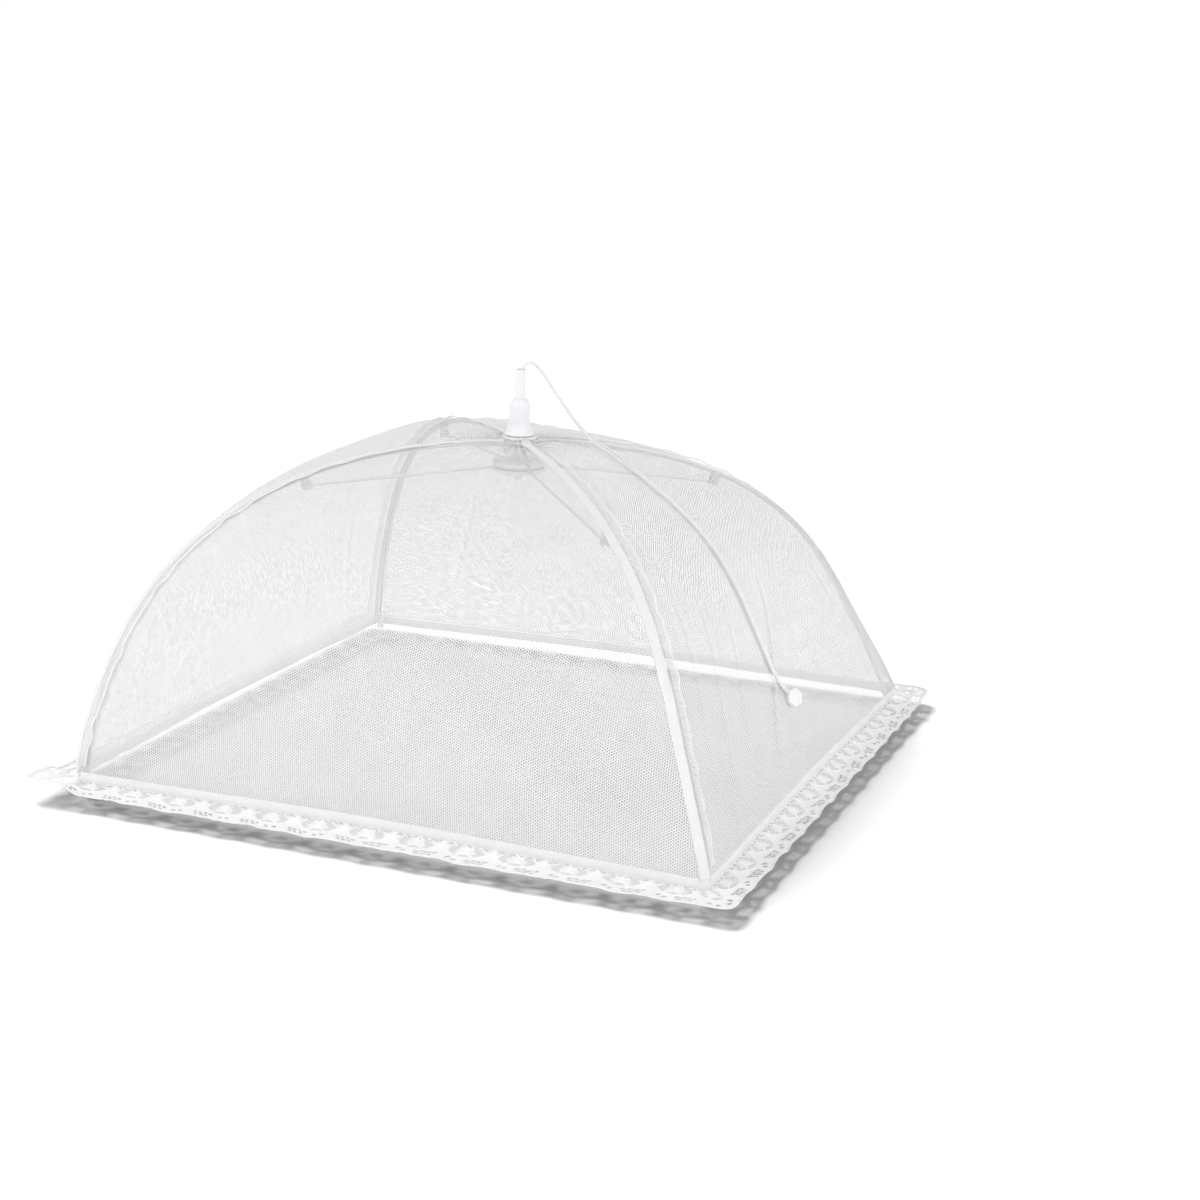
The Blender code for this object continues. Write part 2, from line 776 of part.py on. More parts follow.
def notched_disc(name, profile, look, slot_start, slot_low, slot_high):
    """A turned disc with a radial slot for each rib or stretcher."""
    disc = turned_piece(name, profile, look)
    outside = 2 * max(radius for radius, _ in profile)
    for corner, bearing, _ in CORNERS:
        turn = Matrix.Rotation(math.radians(bearing), 4, "Z")
        slot = box_mesh(
            f"{name}_slot_{corner}",
            (slot_start, -SLOT_WIDTH / 2, slot_low),
            (outside, SLOT_WIDTH / 2, slot_high),
        )
        combine(disc, cutter(slot.name, slot, None, turn))


def tie_wire(name, radius, height):
    """The ring of wire that is threaded through the eyes and lies in the rim's groove."""
    section = []
    for i in range(TIE_WIRE_SIDES):
        angle = 2 * math.pi * i / TIE_WIRE_SIDES
        out = PIN_RADIUS * math.sin(angle)
        section.append((radius + out, height + PIN_RADIUS * math.cos(angle)))
    turned_piece(name, section, PALE_STEEL)


def add_crown():
    bore = TUBE_RADIUS + SEAT_GAP
    groove = HINGE_RADIUS - PIN_HOLE_RADIUS
    hub = (
        (bore, HUB_TOP),
        (HUB_RADIUS - HUB_EDGE, HUB_TOP),
        (HUB_RADIUS, HUB_TOP - HUB_EDGE),
        (HUB_RADIUS, HINGE_HEIGHT + PIN_HOLE_RADIUS),
        (groove, HINGE_HEIGHT + PIN_HOLE_RADIUS),
        (groove, HINGE_HEIGHT - PIN_HOLE_RADIUS),
        (HUB_RADIUS, HINGE_HEIGHT - PIN_HOLE_RADIUS),
        (HUB_RADIUS, HUB_BOTTOM + HUB_EDGE),
        (HUB_RADIUS - HUB_EDGE, HUB_BOTTOM),
        (bore, HUB_BOTTOM),
    )
    low = HUB_BOTTOM - CUT_OVERRUN
    high = HUB_TOP - HUB_ROOF
    notched_disc("crown_hub", hub, WHITE_PLASTIC, HUB_SLOT_START, low, high)
    tie_wire("crown_tie_wire", HINGE_RADIUS, HINGE_HEIGHT)

    patch = (
        (bore, PATCH_TOP),
        (PATCH_RADIUS, PATCH_TOP),
        (PATCH_RADIUS, PATCH_BOTTOM),
        (bore, PATCH_BOTTOM),
    )
    turned_piece("crown_cloth_patch", patch, WHITE_CLOTH)


def add_handle():
    bore = TUBE_RADIUS + SEAT_GAP
    ferrule = (
        (bore, SHOULDER_TOP),
        (SHOULDER_RADIUS, SHOULDER_TOP),
        (COLLAR_RADIUS, COLLAR_TOP),
        (COLLAR_RADIUS, FLARE_TOP),
        (FLARE_RADIUS, FERRULE_BOTTOM),
        (bore, FERRULE_BOTTOM),
    )
    turned_piece("handle_ferrule", ferrule, WHITE_PLASTIC)
    tube = (
        (TUBE_MOUTH_RADIUS, TUBE_TOP),
        (TUBE_RADIUS, TUBE_TOP),
        (TUBE_RADIUS, TUBE_LIP_TOP),
        (TUBE_LIP_RADIUS, TUBE_LIP_TOP),
        (TUBE_LIP_RADIUS, TUBE_BOTTOM),
        (CORD_BORE, TUBE_BOTTOM),
        (CORD_BORE, TUBE_TOP - TUBE_MOUTH_DEPTH),
    )
    turned_piece("handle_tube", tube, WHITE_PLASTIC, steps=TUBE_STEPS)


def add_runner():
    bore = CORD_RADIUS + SEAT_GAP
    groove = RUNNER_PIVOT_RADIUS - PIN_HOLE_RADIUS
    runner = (
        (bore, RUNNER_TOP),
        (RUNNER_RADIUS - HUB_EDGE, RUNNER_TOP),
        (RUNNER_RADIUS, RUNNER_TOP - HUB_EDGE),
        (RUNNER_RADIUS, RUNNER_HEIGHT + PIN_HOLE_RADIUS),
        (groove, RUNNER_HEIGHT + PIN_HOLE_RADIUS),
        (groove, RUNNER_HEIGHT - PIN_HOLE_RADIUS),
        (RUNNER_RADIUS, RUNNER_HEIGHT - PIN_HOLE_RADIUS),
        (RUNNER_RADIUS, RUNNER_BOTTOM + HUB_EDGE),
        (RUNNER_RADIUS - HUB_EDGE, RUNNER_BOTTOM),
        (bore, RUNNER_BOTTOM),
    )
    low = RUNNER_BOTTOM - CUT_OVERRUN
    high = RUNNER_TOP + CUT_OVERRUN
    notched_disc("runner", runner, WHITE_PLASTIC, RUNNER_SLOT_START, low, high)
    tie_wire("runner_tie_wire", RUNNER_PIVOT_RADIUS, RUNNER_HEIGHT)


def smooth_route(points, step):
    """Evenly spaced points on a smooth curve through the chosen ones."""
    knots = [Vector(point) for point in points]
    padded = [2 * knots[0] - knots[1], *knots, 2 * knots[-1] - knots[-2]]
    fine = []
    for a, b, c, d in zip(padded, padded[1:], padded[2:], padded[3:]):
        for i in range(ROUTE_STEPS):
            t = i / ROUTE_STEPS
            pull = (c - a) * t
            bend = (2 * a - 5 * b + 4 * c - d) * t**2
            twist = (3 * b - a - 3 * c + d) * t**3
            fine.append(b + (pull + bend + twist) / 2)
    fine.append(knots[-1])
    total = sum((q - p).length for p, q in zip(fine, fine[1:]))
    count = max(2, round(total / step))
    even = [fine[0]]
    walked = 0.0
    for p, q in zip(fine, fine[1:]):
        length = (q - p).length
        while len(even) < count and walked + length >= total * len(even) / count:
            share = (total * len(even) / count - walked) / length
            even.append(p.lerp(q, share))
        walked += length
    even.append(fine[-1])
    return even, total


def add_cords():
    """The free cord, its tag, the run inside the tube and the knot under the runner."""
    centre = Vector(TAG_CENTRE)
    facing = Vector(TAG_FACING).normalized()
    towards = centre - Vector(CORD_ROUTE[-1])
    towards = (towards - facing * towards.dot(facing)).normalized()
    end = centre - towards * (TAG_RADIUS * math.cos(math.pi / TAG_SIDES) + SEAT_GAP)
    before = end - towards * 2 * CORD_DIAMETER
    route, length = smooth_route([*CORD_ROUTE, before, end], CORD_STEP)
    first_bend = [Vector(point) for point in CORD_ROUTE[:8]]
    tail = [point for point in route if point.z < CORD_ROUTE[7][2] - CORD_DIAMETER]
    cord = tube_curve("pull_cord", [*first_bend, *tail], CORD_RADIUS)
    place("pull_cord", cord, WHITE_TAPE)
    print(f"pull cord: {length:.4f} m in {len(first_bend) + len(tail)} points")

    knot_top = RUNNER_BOTTOM - SEAT_GAP
    inside = [(0, 0, knot_top), (0, 0, CORD_ROUTE[0][2] - SEAT_GAP)]
    place("inner_cord", tube_curve("inner_cord", inside, CORD_RADIUS), WHITE_TAPE)

    def build_knot(shape):
        bmesh.ops.create_uvsphere(
            shape, u_segments=KNOT_SEGMENTS, v_segments=KNOT_RINGS, radius=KNOT_RADIUS
        )

    middle = knot_top - SEAT_GAP - KNOT_RADIUS
    at = Matrix.Translation((0, 0, middle))
    place("cord_knot", mesh_from("cord_knot", build_knot), WHITE_TAPE, None, at)

    axes = Matrix((towards, facing.cross(towards), facing)).transposed().to_4x4()

    def build_tag(shape):
        bmesh.ops.create_cone(
            shape,
            cap_ends=True,
            segments=TAG_SIDES,
            radius1=TAG_RADIUS,
            radius2=TAG_RADIUS,
            depth=TAG_THICKNESS,
        )

    mesh = mesh_from("cord_tag", build_tag)
    tag = place("cord_tag", mesh, WHITE_PLASTIC, None, Matrix.Translation(centre) @ axes)
    edge = tag.modifiers.new("edge", "BEVEL")
    edge.width = TAG_EDGE
    edge.segments = 2


def add_corner(corner):
    name, bearing, _ = corner
    hinge = hinge_empty(f"rib_hinge_{name}", corner_matrix(bearing))
    bpy.context.view_layer.update()
    add_rib(corner, hinge)
    add_binding(corner, hinge)
    add_tip(corner, hinge)
    add_bracket(corner, hinge)
    add_hem(corner, hinge)
    add_stretcher(corner)
    return hinge


def main():
    start_scene()
    add_crown()
    add_handle()
    add_runner()
    add_cords()
    hinges = [add_corner(corner) for corner in CORNERS]
    for i, (panel, first_half, second_half) in enumerate(PANELS):
        j = (i + 1) % len(CORNERS)
        first, second = CORNERS[i], CORNERS[j]
        name = f"{panel}_panel_{first_half}_half"
        add_panel_half(name, first, second, True, hinges[i])
        name = f"{panel}_panel_{second_half}_half"
        add_panel_half(name, first, second, False, hinges[j])
    for piece in model.objects:
        if piece.type == "MESH":
            piece.data.shade_smooth()
            piece.data.set_sharp_from_angle(angle=math.radians(30))


main()
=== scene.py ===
# %% [markdown]
# # A pop-up mesh food cover
# The real cover is an umbrella for food: four sprung wires under a tent of white net, a lace
# border on the table and a pull cord that opens it. The solids already hold its sizes and its
# hinges. This lesson gives every piece its cloth, thread, plastic or wire, in the same place.

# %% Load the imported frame
import math

import bmesh
import bpy
import numpy as np
from mathutils import Matrix, Vector


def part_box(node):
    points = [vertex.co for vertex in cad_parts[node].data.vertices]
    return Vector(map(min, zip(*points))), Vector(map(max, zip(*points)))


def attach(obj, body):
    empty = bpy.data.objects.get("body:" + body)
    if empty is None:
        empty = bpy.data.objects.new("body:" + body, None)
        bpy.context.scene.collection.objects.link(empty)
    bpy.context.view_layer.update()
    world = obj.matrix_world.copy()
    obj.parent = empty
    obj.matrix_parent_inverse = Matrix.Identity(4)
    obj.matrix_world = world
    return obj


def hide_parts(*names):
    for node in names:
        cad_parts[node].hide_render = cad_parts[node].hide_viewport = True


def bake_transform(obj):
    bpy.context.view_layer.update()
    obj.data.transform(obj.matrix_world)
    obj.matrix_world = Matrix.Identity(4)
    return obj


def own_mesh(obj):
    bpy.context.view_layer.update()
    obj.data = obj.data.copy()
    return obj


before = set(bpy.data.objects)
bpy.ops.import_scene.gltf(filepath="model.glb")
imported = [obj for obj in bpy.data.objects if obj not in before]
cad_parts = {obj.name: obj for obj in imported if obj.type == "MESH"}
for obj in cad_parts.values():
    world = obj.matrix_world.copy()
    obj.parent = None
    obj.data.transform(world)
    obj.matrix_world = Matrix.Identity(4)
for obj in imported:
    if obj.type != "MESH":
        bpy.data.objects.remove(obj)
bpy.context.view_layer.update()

# %% [markdown]
# ## Sizes
# The canopy is a rule, not a drawing: each rib is one bow, and the net is a straight span between
# two ribs that bellies a little. The same few sizes drove the solids, so the cloth lands on them.

# %% Sizes of the cover, in metres
HALF_SIDE = 0.215
HINGE_RADIUS = 0.008
HINGE_HEIGHT = 0.2055
WIRE_END_HEIGHT = 0.003
FOOT_INSET = 0.006
FULL_BOW_SHARES = ((0.719, 1.064), (0.972, 0.523))
SLACK_BOW_SHARES = ((0.719, 0.928), (0.804, 0.530))
CLOTH_OFFSET = 0.00175
CANOPY_START_RADIUS = 0.013
FLARE_START_SHARE = 0.75
PANEL_BELLY = 0.010
BELLY_POWER = 4
BINDING_HALF = 0.003
SEAM_GAP = 0.0006
HEM_HEIGHT = 0.0074
CORNER_REACH = HALF_SIDE * math.sqrt(2) - BINDING_HALF
FOOT_RADIUS = CORNER_REACH - FOOT_INSET
TAPE_BEND = BINDING_HALF / (math.sqrt(2) - 1)
LACE_WIDTH = 0.0235
LACE_REPEATS = 13
LACE_SCALLOP = 0.0016

# Corner name, bearing in degrees, bow of its rib
CORNERS = (
    ("front_left", 225, FULL_BOW_SHARES),
    ("front_right", 315, SLACK_BOW_SHARES),
    ("back_right", 45, SLACK_BOW_SHARES),
    ("back_left", 135, FULL_BOW_SHARES),
)
# Panel name, then the names of its two halves in the order of the corners
PANELS = (
    ("front", "left", "right"),
    ("right", "front", "back"),
    ("back", "right", "left"),
    ("left", "back", "front"),
)
rib_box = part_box("rib_tip_front_right")
print("foot reaches", round(rib_box[1].x, 4), "and the hem's half side is", HALF_SIDE)

# %% [markdown]
# ## The camera
# The photograph was taken from a little above the crown, with the near corner right of the
# middle. The lens and the turn come from the four corners of the hem, so the picture plane is
# set once, before anything is dressed.

# %% Place the camera
CAMERA_PLACE = Vector((0.5946, -1.3803, 0.4938))
CAMERA_YAW = math.radians(-22.684)
CAMERA_PITCH = math.radians(-14.78)
CAMERA_ROLL = math.radians(1.252)
CAMERA_LENS = 68.411
CAMERA_SENSOR = 36
CAMERA_SHIFT = 0.05

camera_data = bpy.data.cameras.new("camera")
camera_data.lens = CAMERA_LENS
camera_data.sensor_width = CAMERA_SENSOR
camera_data.shift_x = CAMERA_SHIFT
camera = bpy.data.objects.new("camera", camera_data)
bpy.context.scene.collection.objects.link(camera)
level = math.cos(CAMERA_PITCH)
ahead = Vector((math.sin(CAMERA_YAW) * level, math.cos(CAMERA_YAW) * level, math.sin(CAMERA_PITCH)))
flat_right = Vector((math.cos(CAMERA_YAW), -math.sin(CAMERA_YAW), 0))
flat_up = flat_right.cross(ahead)
right = flat_right * math.cos(CAMERA_ROLL) + flat_up * math.sin(CAMERA_ROLL)
up = right.cross(ahead)
turn = Matrix((right, up, -ahead)).transposed().to_4x4()
camera.matrix_world = Matrix.Translation(CAMERA_PLACE) @ turn
bpy.context.scene.camera = camera
print("camera looks along", tuple(round(x, 3) for x in ahead))

# %% [markdown]
# ## Small tools
# A node tree is long to write out, so a few helpers add a node, set its values and join it. The
# same helpers serve shader trees and geometry trees. The others measure lines, soften steps, add
# gentle waves and close a mesh up, which nearly every piece needs.

# %% Helpers for node trees


def add_node(tree, kind, **settings):
    made = tree.nodes.new(kind)
    for key, value in settings.items():
        setattr(made, key, value)
    return made


def socket_in(made, name):
    return next(s for s in made.inputs if s.name == name and s.enabled)


def socket_out(made, name):
    return next(s for s in made.outputs if s.name == name and s.enabled)


def feed(tree, target, value):
    """Join an output to an input, or set the input where the value is plain."""
    if isinstance(value, bpy.types.NodeSocket):
        tree.links.new(value, target)
    else:
        target.default_value = value


def calculate(tree, operation, *values):
    made = add_node(tree, "ShaderNodeMath", operation=operation)
    for target, value in zip(made.inputs, values):
        feed(tree, target, value)
    return made.outputs[0]


def plain_object(name, mesh, material=None):
    """A finished piece: its place is in its mesh, and its object stays at the origin."""
    piece = bpy.data.objects.new(name, mesh)
    bpy.context.scene.collection.objects.link(piece)
    if material:
        mesh.materials.clear()
        mesh.materials.append(material)
    return piece


# %% Helpers for lines and meshes


def unit(vectors):
    return vectors / np.maximum(np.linalg.norm(vectors, axis=-1, keepdims=True), 1e-12)


def walked(points):
    """How far along its line each point lies. A grid of points has one line in each row."""
    steps = np.linalg.norm(np.diff(points, axis=-2), axis=-1)
    return np.concatenate((np.zeros((*steps.shape[:-1], 1)), np.cumsum(steps, -1)), -1)


def ease(share):
    """The share, kept between 0 and 1, with a gentle start and a gentle end."""
    share = np.clip(share, 0, 1)
    return share**2 * (3 - 2 * share)


def random_waves(rng, run, counts, low, high):
    """A sum of waves along a run from 0 to 1, each with a height and a start of its own."""
    return sum(
        rng.uniform(low, high) * np.sin(2 * np.pi * (count * run + rng.uniform()))
        for count in counts
    )


def close_up(mesh, sharp=None):
    """Turn all faces outwards and shade them smooth, and keep edges above an angle sharp."""
    shape = bmesh.new()
    shape.from_mesh(mesh)
    bmesh.ops.recalc_face_normals(shape, faces=shape.faces)
    shape.to_mesh(mesh)
    shape.free()
    mesh.shade_smooth()
    if sharp:
        mesh.set_sharp_from_angle(angle=math.radians(sharp))


# %% [markdown]
# ## White on white
# Everything here is white, so the surfaces differ in how they catch the light: knitted
# polyester, woven tape, twisted string, moulded plastic and drawn wire. Each gets a Principled
# shader whose colour wanders a little and whose bump has the size of the real thread.

# %% Helpers for shaders
SCATTER_DEPTH = 0.003
SCATTER_SCALE = 0.4
MOTTLE_DETAIL = 3
MOTTLE_DARK_SHARE = 0.35
MOTTLE_LIGHT_SHARE = 0.65
THREAD_UNEVENNESS = 0.4
# At this scale a wave texture has one wave in each metre
SCALE_OF_ONE_WAVE = 2 * math.pi / 20


def new_shader(name, colour, roughness, sheen=0.0, metallic=0.0, see_through=0.0):
    """A material with its Principled node ready, and the uniform values on its sockets."""
    material = bpy.data.materials.new(name)
    material.use_nodes = True
    tree = material.node_tree
    shader = tree.nodes["Principled BSDF"]
    shader.inputs["Base Color"].default_value = (*colour, 1)
    shader.inputs["Roughness"].default_value = roughness
    shader.inputs["Metallic"].default_value = metallic
    shader.inputs["Sheen Weight"].default_value = sheen
    if see_through:
        shader.inputs["Subsurface Weight"].default_value = see_through
        shader.inputs["Subsurface Radius"].default_value = (SCATTER_DEPTH,) * 3
        shader.inputs["Subsurface Scale"].default_value = SCATTER_SCALE
    return material, tree, shader


def vary_colour(tree, shader, coordinates, light, dark, scale):
    """Mottle the colour between a light and a dark tone."""
    cloud = add_node(tree, "ShaderNodeTexNoise")
    cloud.inputs["Scale"].default_value = scale
    cloud.inputs["Detail"].default_value = MOTTLE_DETAIL
    tree.links.new(coordinates, cloud.inputs["Vector"])
    ramp = add_node(tree, "ShaderNodeValToRGB")
    ramp.color_ramp.elements[0].position = MOTTLE_DARK_SHARE
    ramp.color_ramp.elements[0].color = (*dark, 1)
    ramp.color_ramp.elements[1].position = MOTTLE_LIGHT_SHARE
    ramp.color_ramp.elements[1].color = (*light, 1)
    tree.links.new(cloud.outputs["Fac"], ramp.inputs["Fac"])
    tree.links.new(ramp.outputs["Color"], shader.inputs["Base Color"])
    return cloud


def vary_roughness(tree, shader, cloud, lowest, spread):
    """Let the roughness follow the mottle, from its lowest value up by a spread."""
    rough = calculate(tree, "MULTIPLY_ADD", cloud.outputs["Fac"], spread, lowest)
    tree.links.new(rough, shader.inputs["Roughness"])


def fine_noise(tree, coordinates, scale):
    grain = add_node(tree, "ShaderNodeTexNoise")
    grain.inputs["Scale"].default_value = scale
    tree.links.new(coordinates, grain.inputs["Vector"])
    return grain.outputs["Fac"]


def raise_bump(tree, shader, height, distance, strength):
    bump = add_node(tree, "ShaderNodeBump")
    bump.inputs["Strength"].default_value = strength
    bump.inputs["Distance"].default_value = distance
    tree.links.new(height, bump.inputs["Height"])
    tree.links.new(bump.outputs["Normal"], shader.inputs["Normal"])


def thread_waves(tree, coordinates, spacing, direction):
    """Even threads across a direction, at a spacing in metres."""
    wave = add_node(tree, "ShaderNodeTexWave", wave_type="BANDS", bands_direction=direction)
    wave.inputs["Scale"].default_value = SCALE_OF_ONE_WAVE / spacing
    wave.inputs["Distortion"].default_value = THREAD_UNEVENNESS
    wave.inputs["Detail"].default_value = 1
    tree.links.new(coordinates, wave.inputs["Vector"])
    return wave.outputs["Fac"]


# %% Cloth finishes
WARP_PER_RIB = 1.4


def knit_material(name, light, dark, roughness):
    """Knitted polyester: soft fibres along each thread, seen as a fine random grain."""
    material, tree, shader = new_shader(name, light, roughness, sheen=0.15)
    place = add_node(tree, "ShaderNodeTexCoord")
    cloud = vary_colour(tree, shader, place.outputs["Object"], light, dark, scale=60)
    vary_roughness(tree, shader, cloud, roughness - 0.1, spread=0.2)
    fibre = fine_noise(tree, place.outputs["Object"], scale=5000)
    raise_bump(tree, shader, fibre, distance=0.0001, strength=0.4)
    return material


def woven_material(name, light, dark, thread, roughness):
    """Narrow woven tape: ribs across it and finer warp along it, both from its own UV map."""
    material, tree, shader = new_shader(name, light, roughness, sheen=0.2)
    place = add_node(tree, "ShaderNodeTexCoord")
    vary_colour(tree, shader, place.outputs["Object"], light, dark, scale=90)
    flat = add_node(tree, "ShaderNodeUVMap", uv_map="UVMap").outputs["UV"]
    across = thread_waves(tree, flat, thread, "X")
    along = thread_waves(tree, flat, thread / WARP_PER_RIB, "Y")
    weave = calculate(tree, "MULTIPLY", across, along)
    raise_bump(tree, shader, weave, distance=0.00025, strength=0.7)
    return material


net_white = knit_material("net_white", (0.81, 0.81, 0.82), (0.77, 0.775, 0.785), 0.62)
lace_white = knit_material("lace_white", (0.96, 0.96, 0.965), (0.93, 0.93, 0.94), 0.66)
tape_white = woven_material("tape_white", (0.97, 0.97, 0.975), (0.94, 0.94, 0.95), 0.0006, 0.7)
sleeve_white = woven_material("sleeve_white", (0.94, 0.94, 0.95), (0.91, 0.915, 0.92), 0.0005, 0.72)
thread_white = knit_material("thread_white", (0.92, 0.925, 0.93), (0.88, 0.885, 0.89), 0.5)
print("cloth finishes:", net_white.name, lace_white.name, tape_white.name, sleeve_white.name)

# %% Plastic, string and wire finishes
PLY_SPACING = 0.0009
PLY_SLANT = math.radians(35)
PLASTIC_IOR = 1.46
STREAK_DARKNESS = 0.85


def plastic_material(name, colour, dark, roughness):
    """Moulded white plastic: a satin skin with a very fine orange peel."""
    material, tree, shader = new_shader(name, colour, roughness, see_through=0.12)
    shader.inputs["IOR"].default_value = PLASTIC_IOR
    place = add_node(tree, "ShaderNodeTexCoord")
    cloud = vary_colour(tree, shader, place.outputs["Object"], colour, dark, scale=120)
    vary_roughness(tree, shader, cloud, roughness - 0.08, spread=0.16)
    peel = fine_noise(tree, place.outputs["Object"], scale=900)
    raise_bump(tree, shader, peel, distance=0.00006, strength=0.35)
    return material


def string_material(name, light, dark):
    """Twisted string: slanting plies from the UV map, which runs along and round the strand."""
    material, tree, shader = new_shader(name, light, 0.75, sheen=0.25)
    place = add_node(tree, "ShaderNodeTexCoord")
    vary_colour(tree, shader, place.outputs["Object"], light, dark, scale=150)
    flat = add_node(tree, "ShaderNodeUVMap", uv_map="UVMap").outputs["UV"]
    slant = add_node(tree, "ShaderNodeMapping")
    slant.inputs["Rotation"].default_value = (0, 0, PLY_SLANT)
    tree.links.new(flat, slant.inputs["Vector"])
    plies = thread_waves(tree, slant.outputs["Vector"], PLY_SPACING, "X")
    raise_bump(tree, shader, plies, distance=0.0003, strength=0.8)
    return material


def steel_material(name, colour, roughness):
    """Drawn zinc-coated wire: bright metal with streaks and a dull bloom."""
    material, tree, shader = new_shader(name, colour, roughness, metallic=0.85)
    place = add_node(tree, "ShaderNodeTexCoord")
    dull = tuple(part * STREAK_DARKNESS for part in colour)
    bloom = vary_colour(tree, shader, place.outputs["Object"], colour, dull, scale=350)
    vary_roughness(tree, shader, bloom, roughness - 0.1, spread=0.25)
    streak = fine_noise(tree, place.outputs["Object"], scale=2500)
    raise_bump(tree, shader, streak, distance=0.00003, strength=0.4)
    return material


plastic_white = plastic_material("plastic_white", (0.875, 0.88, 0.89), (0.845, 0.85, 0.86), 0.38)
string_white = string_material("string_white", (0.93, 0.93, 0.935), (0.89, 0.89, 0.90))
wire_steel = steel_material("wire_steel", (0.78, 0.79, 0.80), 0.36)
bracket_steel = steel_material("bracket_steel", (0.66, 0.67, 0.69), 0.42)
print("hard finishes:", plastic_white.name, string_white.name, wire_steel.name)

# %% [markdown]
# ## The pull cord
# A doubled string comes out of the handle tube, falls over its mouth and lies across the right
# panel to a small tag. It could be a curve with a round bevel, but the real one is two strands
# side by side, so two strands are swept along the route and drift a little apart on the way.

# %% The cord's route, point by point
CORD_ROUTE = (
    (0.0000, 0.0000, 0.2500),
    (0.0001, 0.0000, 0.2525),
    (0.0010, 0.0004, 0.2558),
    (0.0031, 0.0013, 0.2588),
    (0.0062, 0.0026, 0.2601),
    (0.0095, 0.0039, 0.2585),
    (0.0128, 0.0052, 0.2546),
    (0.0165, 0.0066, 0.2491),
    (0.0212, 0.0084, 0.2415),
    (0.0277, 0.0108, 0.2316),
    (0.0355, 0.0134, 0.2208),
    (0.0436, 0.0146, 0.2122),
    (0.0525, 0.0128, 0.2071),
    (0.0640, 0.0064, 0.2041),
    (0.0760, -0.0026, 0.2008),
    (0.0903, -0.0130, 0.1967),
    (0.1067, -0.0225, 0.1903),
    (0.1241, -0.0285, 0.1806),
    (0.1400, -0.0325, 0.1687),
    (0.1525, -0.0352, 0.1568),
    (0.1643, -0.0378, 0.1420),
    (0.1745, -0.0392, 0.1255),
    (0.1822, -0.0385, 0.1098),
    (0.1882, -0.0355, 0.0952),
    (0.1932, -0.0300, 0.0806),
)
TAG_CENTRE = Vector((0.2036, -0.0150, 0.0602))
TAG_FACING = Vector((0.80, -0.48, 0.34)).normalized()
TAG_RADIUS = 0.0063
TAG_THICKNESS = 0.0030
CORD_SOLID_DIAMETER = 0.0026
SEAT_GAP = 0.0003
CORD_RING_STEP = 0.003
POINTS_PER_KNOT = 16

towards_tag = TAG_CENTRE - Vector(CORD_ROUTE[-1])
towards_tag = (towards_tag - TAG_FACING * towards_tag.dot(TAG_FACING)).normalized()
cord_end = TAG_CENTRE - towards_tag * (TAG_RADIUS * math.cos(math.pi / 6) + SEAT_GAP)
before_end = cord_end - towards_tag * 2 * CORD_SOLID_DIAMETER


def smooth_route(points, step):
    """Evenly spaced points on one smooth curve through the chosen ones."""
    knots = np.array([tuple(p) for p in points], float)
    padded = np.vstack((2 * knots[0] - knots[1], knots, 2 * knots[-1] - knots[-2]))
    t = (np.arange(POINTS_PER_KNOT) / POINTS_PER_KNOT)[:, None]
    fine = []
    for a, b, c, d in zip(padded, padded[1:], padded[2:], padded[3:]):
        bend = (2 * a - 5 * b + 4 * c - d) * t**2
        twist = (3 * b - a - 3 * c + d) * t**3
        fine.append(b + ((c - a) * t + bend + twist) / 2)
    fine = np.vstack((*fine, knots[-1:]))
    run = walked(fine)
    count = max(2, round(run[-1] / step))
    at = np.linspace(0, run[-1], count + 1)
    return np.stack([np.interp(at, run, fine[:, k]) for k in range(3)], 1), run[-1]


cord_line, CORD_LENGTH = smooth_route([*CORD_ROUTE, before_end, cord_end], CORD_RING_STEP)
print("cord:", round(CORD_LENGTH, 4), "m in", len(cord_line), "rings")

# %% [markdown]
# ## Sweeping a section along a line
# Strings, sleeves, tapes and hem threads are all one idea: a small outline carried along a line.
# A curve bevel can do it, but its roll is hard to steer on a bent sheet, so here each ring is
# placed by its own sideways and upward directions. The map runs in metres, for the weave.

# %% Helpers for swept pieces


def swept_mesh(name, lines):
    """Closed strips: each is (points, sideways, upward, outline), with an outline for each ring."""
    vertices, faces, maps = [], [], []
    for points, side, lift, outline in lines:
        start = len(vertices)
        outline = np.asarray(outline, float)
        if outline.ndim == 2:
            outline = np.repeat(outline[None], len(points), 0)
        rings = points[:, None] + outline[..., :1] * side[:, None] + outline[..., 1:] * lift[:, None]
        count, sides = rings.shape[:2]
        run = walked(points)
        round_it = walked(np.vstack((outline[0], outline[0, :1])))
        vertices.extend(map(tuple, rings.reshape(-1, 3)))
        for i in range(count - 1):
            for j in range(sides):
                k = (j + 1) % sides
                a, b = start + i * sides, start + (i + 1) * sides
                faces.append((a + j, a + k, b + k, b + j))
                places = ((i, j), (i, j + 1), (i + 1, j + 1), (i + 1, j))
                maps.extend((run[ring], round_it[side_step]) for ring, side_step in places)
        for ring, order in ((0, -1), (count - 1, 1)):
            loop = [start + ring * sides + j for j in range(sides)][::order]
            faces.append(tuple(loop))
            maps.extend((run[ring], round_it[v - start - ring * sides]) for v in loop)
    mesh = bpy.data.meshes.new(name)
    mesh.from_pydata(vertices, [], faces)
    layer = mesh.uv_layers.new(name="UVMap")
    layer.data.foreach_set("uv", np.array(maps, np.float32).ravel())
    close_up(mesh, sharp=60)
    return mesh


def round_outline(radius, sides):
    angles = 2 * np.pi * np.arange(sides) / sides
    return np.stack((radius * np.cos(angles), radius * np.sin(angles)), 1)


